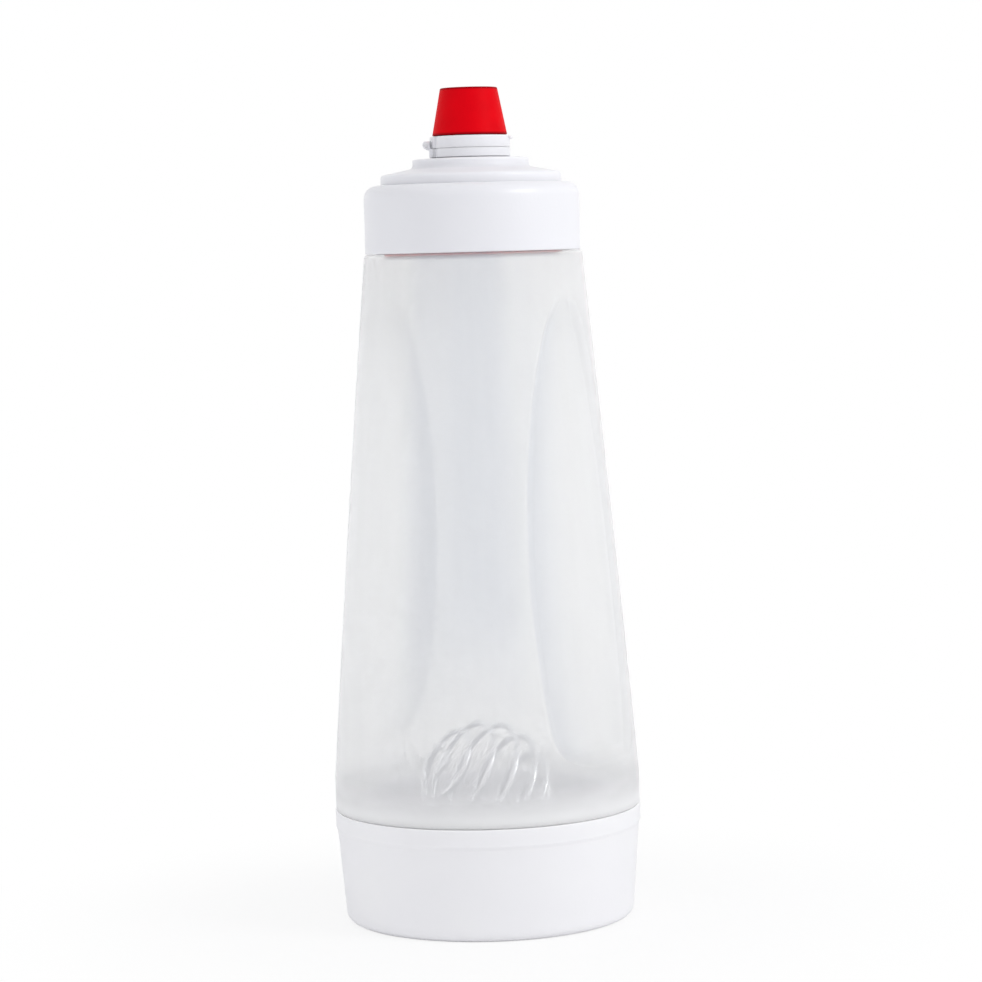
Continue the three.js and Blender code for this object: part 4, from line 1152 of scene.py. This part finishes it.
tip_low, tip_high = (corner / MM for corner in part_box("spout_tip"))
TIP_FLANGE_RADIUS = TUBE_RADIUS - SEAT_GAP
TIP_FLANGE_TOP = tip_low.z + 1.1
TIP_FOOT_RADIUS = 7.5
TIP_END_RADIUS = 4.4
TIP_WALL = 1.4
RING_LIP_FOOT = TIP_FLANGE_TOP + SEAT_GAP
RING_TOP = RING_LIP_FOOT + 1.1
spin("spout_tip_nozzle", [
    (TIP_FOOT_RADIUS - TIP_WALL, tip_low.z, 0.4),
    (TIP_FLANGE_RADIUS, tip_low.z, 0.3),
    (TIP_FLANGE_RADIUS, TIP_FLANGE_TOP, 0.3),
    (TIP_FOOT_RADIUS, TIP_FLANGE_TOP, 0.4),
    (TIP_FOOT_RADIUS, RING_TOP, 0.5),
    (TIP_END_RADIUS, tip_high.z, 0.7),
    (TIP_END_RADIUS - TIP_WALL, tip_high.z, 0.4),
], "top", "clear_silicone", milky_silicone, "spout_tip", columns=96, longest=0.8)

# %% [markdown]
# ## Hinge
#
# The ring and the lid meet at a small hinge, which the photograph shows at the bottle's left. Its place
# comes from the CAD joint. The pieces are drawn with the hinge on the X axis and then turned to it. The flat
# ones are plates: an outline is pushed along a third direction and a bevel softens its edges.

# %% Plates
hinge = next(joint for joint in frame["joints"] if joint["name"] == "lid_hinge")
HINGE_AZIMUTH = atan2(hinge["pos_m"][1], hinge["pos_m"][0])
PIN_REACH = hypot(hinge["pos_m"][0], hinge["pos_m"][1]) / MM
PIN_HEIGHT = hinge["pos_m"][2] / MM
UPRIGHT = (0, 2, 1)
LEVEL = (0, 1, 2)
PLATE_BEVEL = 0.25
BEVEL_SEGMENTS = 3
BEVEL_ANGLE = radians(40)
to_hinge = np.array(Matrix.Rotation(HINGE_AZIMUTH, 3, "Z"))


def plate(name, outline, low, high, axes, bevel, body, material, node):
    """An outline in two axes, pushed from low to high along the third, with a soft bevel, at the hinge.

    An upright plate has its outline in reach and height and is pushed sideways. A level one is pushed up."""
    corners = np.zeros((2, len(outline), 3))
    corners[:, :, axes[0]] = outline[:, 0]
    corners[:, :, axes[1]] = outline[:, 1]
    corners[:, :, axes[2]] = np.array([low, high])[:, None]
    count = len(outline)
    ahead = [(i, (i + 1) % count, count + (i + 1) % count, count + i) for i in range(count)]
    mesh = bpy.data.meshes.new(name)
    points = corners.reshape(-1, 3) @ to_hinge.T * MM
    mesh.from_pydata(points, [], [*ahead, tuple(range(count)), tuple(range(count, 2 * count))])
    made = piece(name, mesh, body, material, node)
    soft = made.modifiers.new("soft_edges", "BEVEL")
    soft.width = bevel * MM
    soft.segments = BEVEL_SEGMENTS
    soft.angle_limit = BEVEL_ANGLE
    return made


def arc(centre_x, centre_y, radius, start, end, steps=16):
    """Points of an arc in the plane, from one angle to another."""
    angle = np.linspace(start, end, steps + 1)
    return np.stack([centre_x + radius * np.cos(angle), centre_y + radius * np.sin(angle)], axis=1)


# %% Tip ring and its ears
ring_box_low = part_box("tip_ring")[0] / MM
RING_FOOT = DOME_TOP + 0.06
RING_BAND_TOP = ring_box_low.z + 2.9
RING_RADIUS = 14.3
RING_NECK_RADIUS = 12.6
RING_BORE = TUBE_RADIUS + 0.35
RING_LIP_INNER = TIP_FOOT_RADIUS + 0.35
KNUCKLE_RADIUS = 1.3
KNUCKLE_WIDTH = 7.4
EAR_INNER = KNUCKLE_WIDTH / 2 + SEAT_GAP
EAR_OUTER = EAR_INNER + 2.2
EAR_POST = 1.5
EAR_FOOT = RING_FOOT + 0.1
EAR_FACE = RING_RADIUS + EAR_POST / 6
EAR_FLARE_ANGLE = radians(-50)
EAR_CROWN_ANGLE = radians(130)
RELIEF_MIDDLE = EAR_OUTER + 1.2
RELIEF_HALF_WIDTH = 1.2
RELIEF_EDGE = 0.25
RELIEF_DEPTH = 0.6


def relief_offset(radius, height, angle):
    """Two upright grooves beside the hinge, in the outer wall alone.

    The distance to a groove's middle is measured across the ring, as radius * |sin(angle)|."""
    across = RING_RADIUS * np.abs(np.sin(angle - HINGE_AZIMUTH))
    near = np.cos(angle - HINGE_AZIMUTH) > 0
    groove = smooth((RELIEF_HALF_WIDTH - np.abs(across - RELIEF_MIDDLE)) / RELIEF_EDGE)
    outer = radius > RING_RADIUS - RELIEF_EDGE
    return -RELIEF_DEPTH * groove * near * outer


spin("tip_ring_band", [
    (RING_BORE, RING_FOOT, 0.2),
    (RING_RADIUS, RING_FOOT, 0.2),
    (RING_RADIUS, RING_BAND_TOP, 0.2),
    (RING_NECK_RADIUS, RING_BAND_TOP, 0.2),
    (RING_NECK_RADIUS, RING_TOP, 0.4),
    (RING_LIP_INNER, RING_TOP, 0.3),
    (RING_LIP_INNER, RING_LIP_FOOT, 0.2),
    (RING_BORE, RING_LIP_FOOT, 0.2),
    (RING_BORE, BEAD_TOP + BEAD_PROUD),
    (RING_BORE + BEAD_PROUD, BEAD_TOP),
    (RING_BORE + BEAD_PROUD, BEAD_FOOT),
    (RING_BORE, BEAD_FOOT - BEAD_PROUD),
], "top", "white_plastic", white, "tip_ring", columns=360, longest=0.7, offset=relief_offset)

ear_outline = np.concatenate([
    [(RING_RADIUS - EAR_POST, EAR_FOOT)],
    [(EAR_FACE, EAR_FOOT)],
    [(EAR_FACE, RING_BAND_TOP - EAR_POST / 3)],
    arc(PIN_REACH, PIN_HEIGHT, KNUCKLE_RADIUS, EAR_FLARE_ANGLE, EAR_CROWN_ANGLE),
    [(PIN_REACH - KNUCKLE_RADIUS, PIN_HEIGHT)],
    [(PIN_REACH - KNUCKLE_RADIUS, RING_BAND_TOP)],
    [(RING_RADIUS - EAR_POST, RING_BAND_TOP)],
])
for side, low, high in (("left", -EAR_OUTER, -EAR_INNER), ("right", EAR_INNER, EAR_OUTER)):
    plate(f"hinge_ear_{side}", ear_outline, low, high, UPRIGHT, PLATE_BEVEL,
          "top", white, "tip_ring")

# %% Hinge pin
PIN_RADIUS = 0.8
PIN_HALF_LENGTH = EAR_OUTER + 0.2
PIN_BEVEL = 0.15
pin_outline = arc(PIN_REACH, PIN_HEIGHT, PIN_RADIUS, 0, TAU, steps=32)[:-1]
plate("hinge_pin_rod", pin_outline, -PIN_HALF_LENGTH, PIN_HALF_LENGTH, UPRIGHT, PIN_BEVEL,
      "top", white, "hinge_pin")

# %% [markdown]
# ## Lid
#
# The lid is a hard white frame with a soft red cap pushed over it. The frame's band closes on the tip's
# ring, its knuckle turns on the pin, and a small lip opposite the hinge lifts it. A silicone disc inside
# seals the tip.

# %% Lid frame
seal_low, seal_high = (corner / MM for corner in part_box("lid_seal"))
LID_FOOT = RING_BAND_TOP + 0.08
LID_TOP = cover_low.z - SEAT_GAP
LID_BAND_INNER = RING_NECK_RADIUS + SEAT_GAP
LID_CEILING_FOOT = LID_TOP - 0.9
SPIGOT_WALL = 1.2
SPIGOT_FOOT_RADIUS = 10.0
SPIGOT_CEILING = seal_high.z + SEAT_GAP
SPIGOT_TOP = SPIGOT_CEILING + SPIGOT_WALL
COVER_FOOT_RADIUS = RING_RADIUS - 0.95
COVER_RATE = COVER_NARROWING / (cover_high.z - cover_low.z)
SPIGOT_END_RADIUS = SPIGOT_FOOT_RADIUS - COVER_RATE * (SPIGOT_TOP - LID_TOP)
KNUCKLE_ROOT = LID_BAND_INNER + 0.3
LIP_REACH = RING_RADIUS + 1.0
LIP_ROOT = LID_BAND_INNER + 0.4
LIP_HALF_WIDTH = 4.0
LIP_TOP = LID_TOP - 0.4
LIP_HEIGHT = 0.8
LIP_BEVEL = 0.2

spin("lid_frame_shell", [
    (0, SPIGOT_TOP),
    (SPIGOT_END_RADIUS, SPIGOT_TOP, 0.5),
    (SPIGOT_FOOT_RADIUS, LID_TOP, 0.2),
    (RING_RADIUS, LID_TOP, 0.4),
    (RING_RADIUS, LID_FOOT, 0.15),
    (LID_BAND_INNER, LID_FOOT, 0.2),
    (LID_BAND_INNER, LID_CEILING_FOOT, 0.4),
    (SPIGOT_FOOT_RADIUS - SPIGOT_WALL, LID_CEILING_FOOT, 0.3),
    (SPIGOT_END_RADIUS - SPIGOT_WALL, SPIGOT_CEILING, 0.5),
    (0, SPIGOT_CEILING),
], "lid", "white_plastic", white, "lid_frame", columns=360, longest=0.7, offset=relief_offset)

knuckle_outline = np.concatenate([
    [(KNUCKLE_ROOT, LID_FOOT)],
    arc(PIN_REACH, PIN_HEIGHT, KNUCKLE_RADIUS, radians(-90), radians(90)),
    [(KNUCKLE_ROOT, PIN_HEIGHT + KNUCKLE_RADIUS)],
])
plate("lid_knuckle", knuckle_outline, -KNUCKLE_WIDTH / 2, KNUCKLE_WIDTH / 2, UPRIGHT, PLATE_BEVEL,
      "lid", white, "lid_frame")

lip_half_angle = np.arcsin(LIP_HALF_WIDTH / LIP_REACH)
lip_outline = np.concatenate([
    arc(0, 0, LIP_REACH, pi - lip_half_angle, pi + lip_half_angle),
    arc(0, 0, LIP_ROOT, pi + lip_half_angle, pi - lip_half_angle),
])
plate("lift_lip", lip_outline, LIP_TOP - LIP_HEIGHT, LIP_TOP, LEVEL, LIP_BEVEL,
      "lid", white, "lid_frame")

# %% Lid seal and cover
spin("lid_seal_disc", [
    (0, seal_low.z),
    (seal_high.x, seal_low.z, 0.3),
    (seal_high.x, seal_high.z, 0.3),
    (0, seal_high.z),
], "lid", "clear_silicone", milky_silicone, "lid_seal", columns=72, longest=0.8)

COVER_ROOM_RADIUS = SPIGOT_FOOT_RADIUS + SEAT_GAP
COVER_CEILING = SPIGOT_TOP + SEAT_GAP
COVER_ROOM_END = COVER_ROOM_RADIUS - COVER_RATE * (COVER_CEILING - cover_low.z)
spin("lid_cover_cap", [
    (0, cover_high.z),
    (COVER_FOOT_RADIUS - COVER_NARROWING, cover_high.z, 0.5),
    (COVER_FOOT_RADIUS, cover_low.z, 0.25),
    (COVER_ROOM_RADIUS, cover_low.z, 0.25),
    (COVER_ROOM_END, COVER_CEILING, 0.5),
    (0, COVER_CEILING),
], "lid", "red_silicone", red_silicone, "lid_cover", columns=120, longest=0.9)
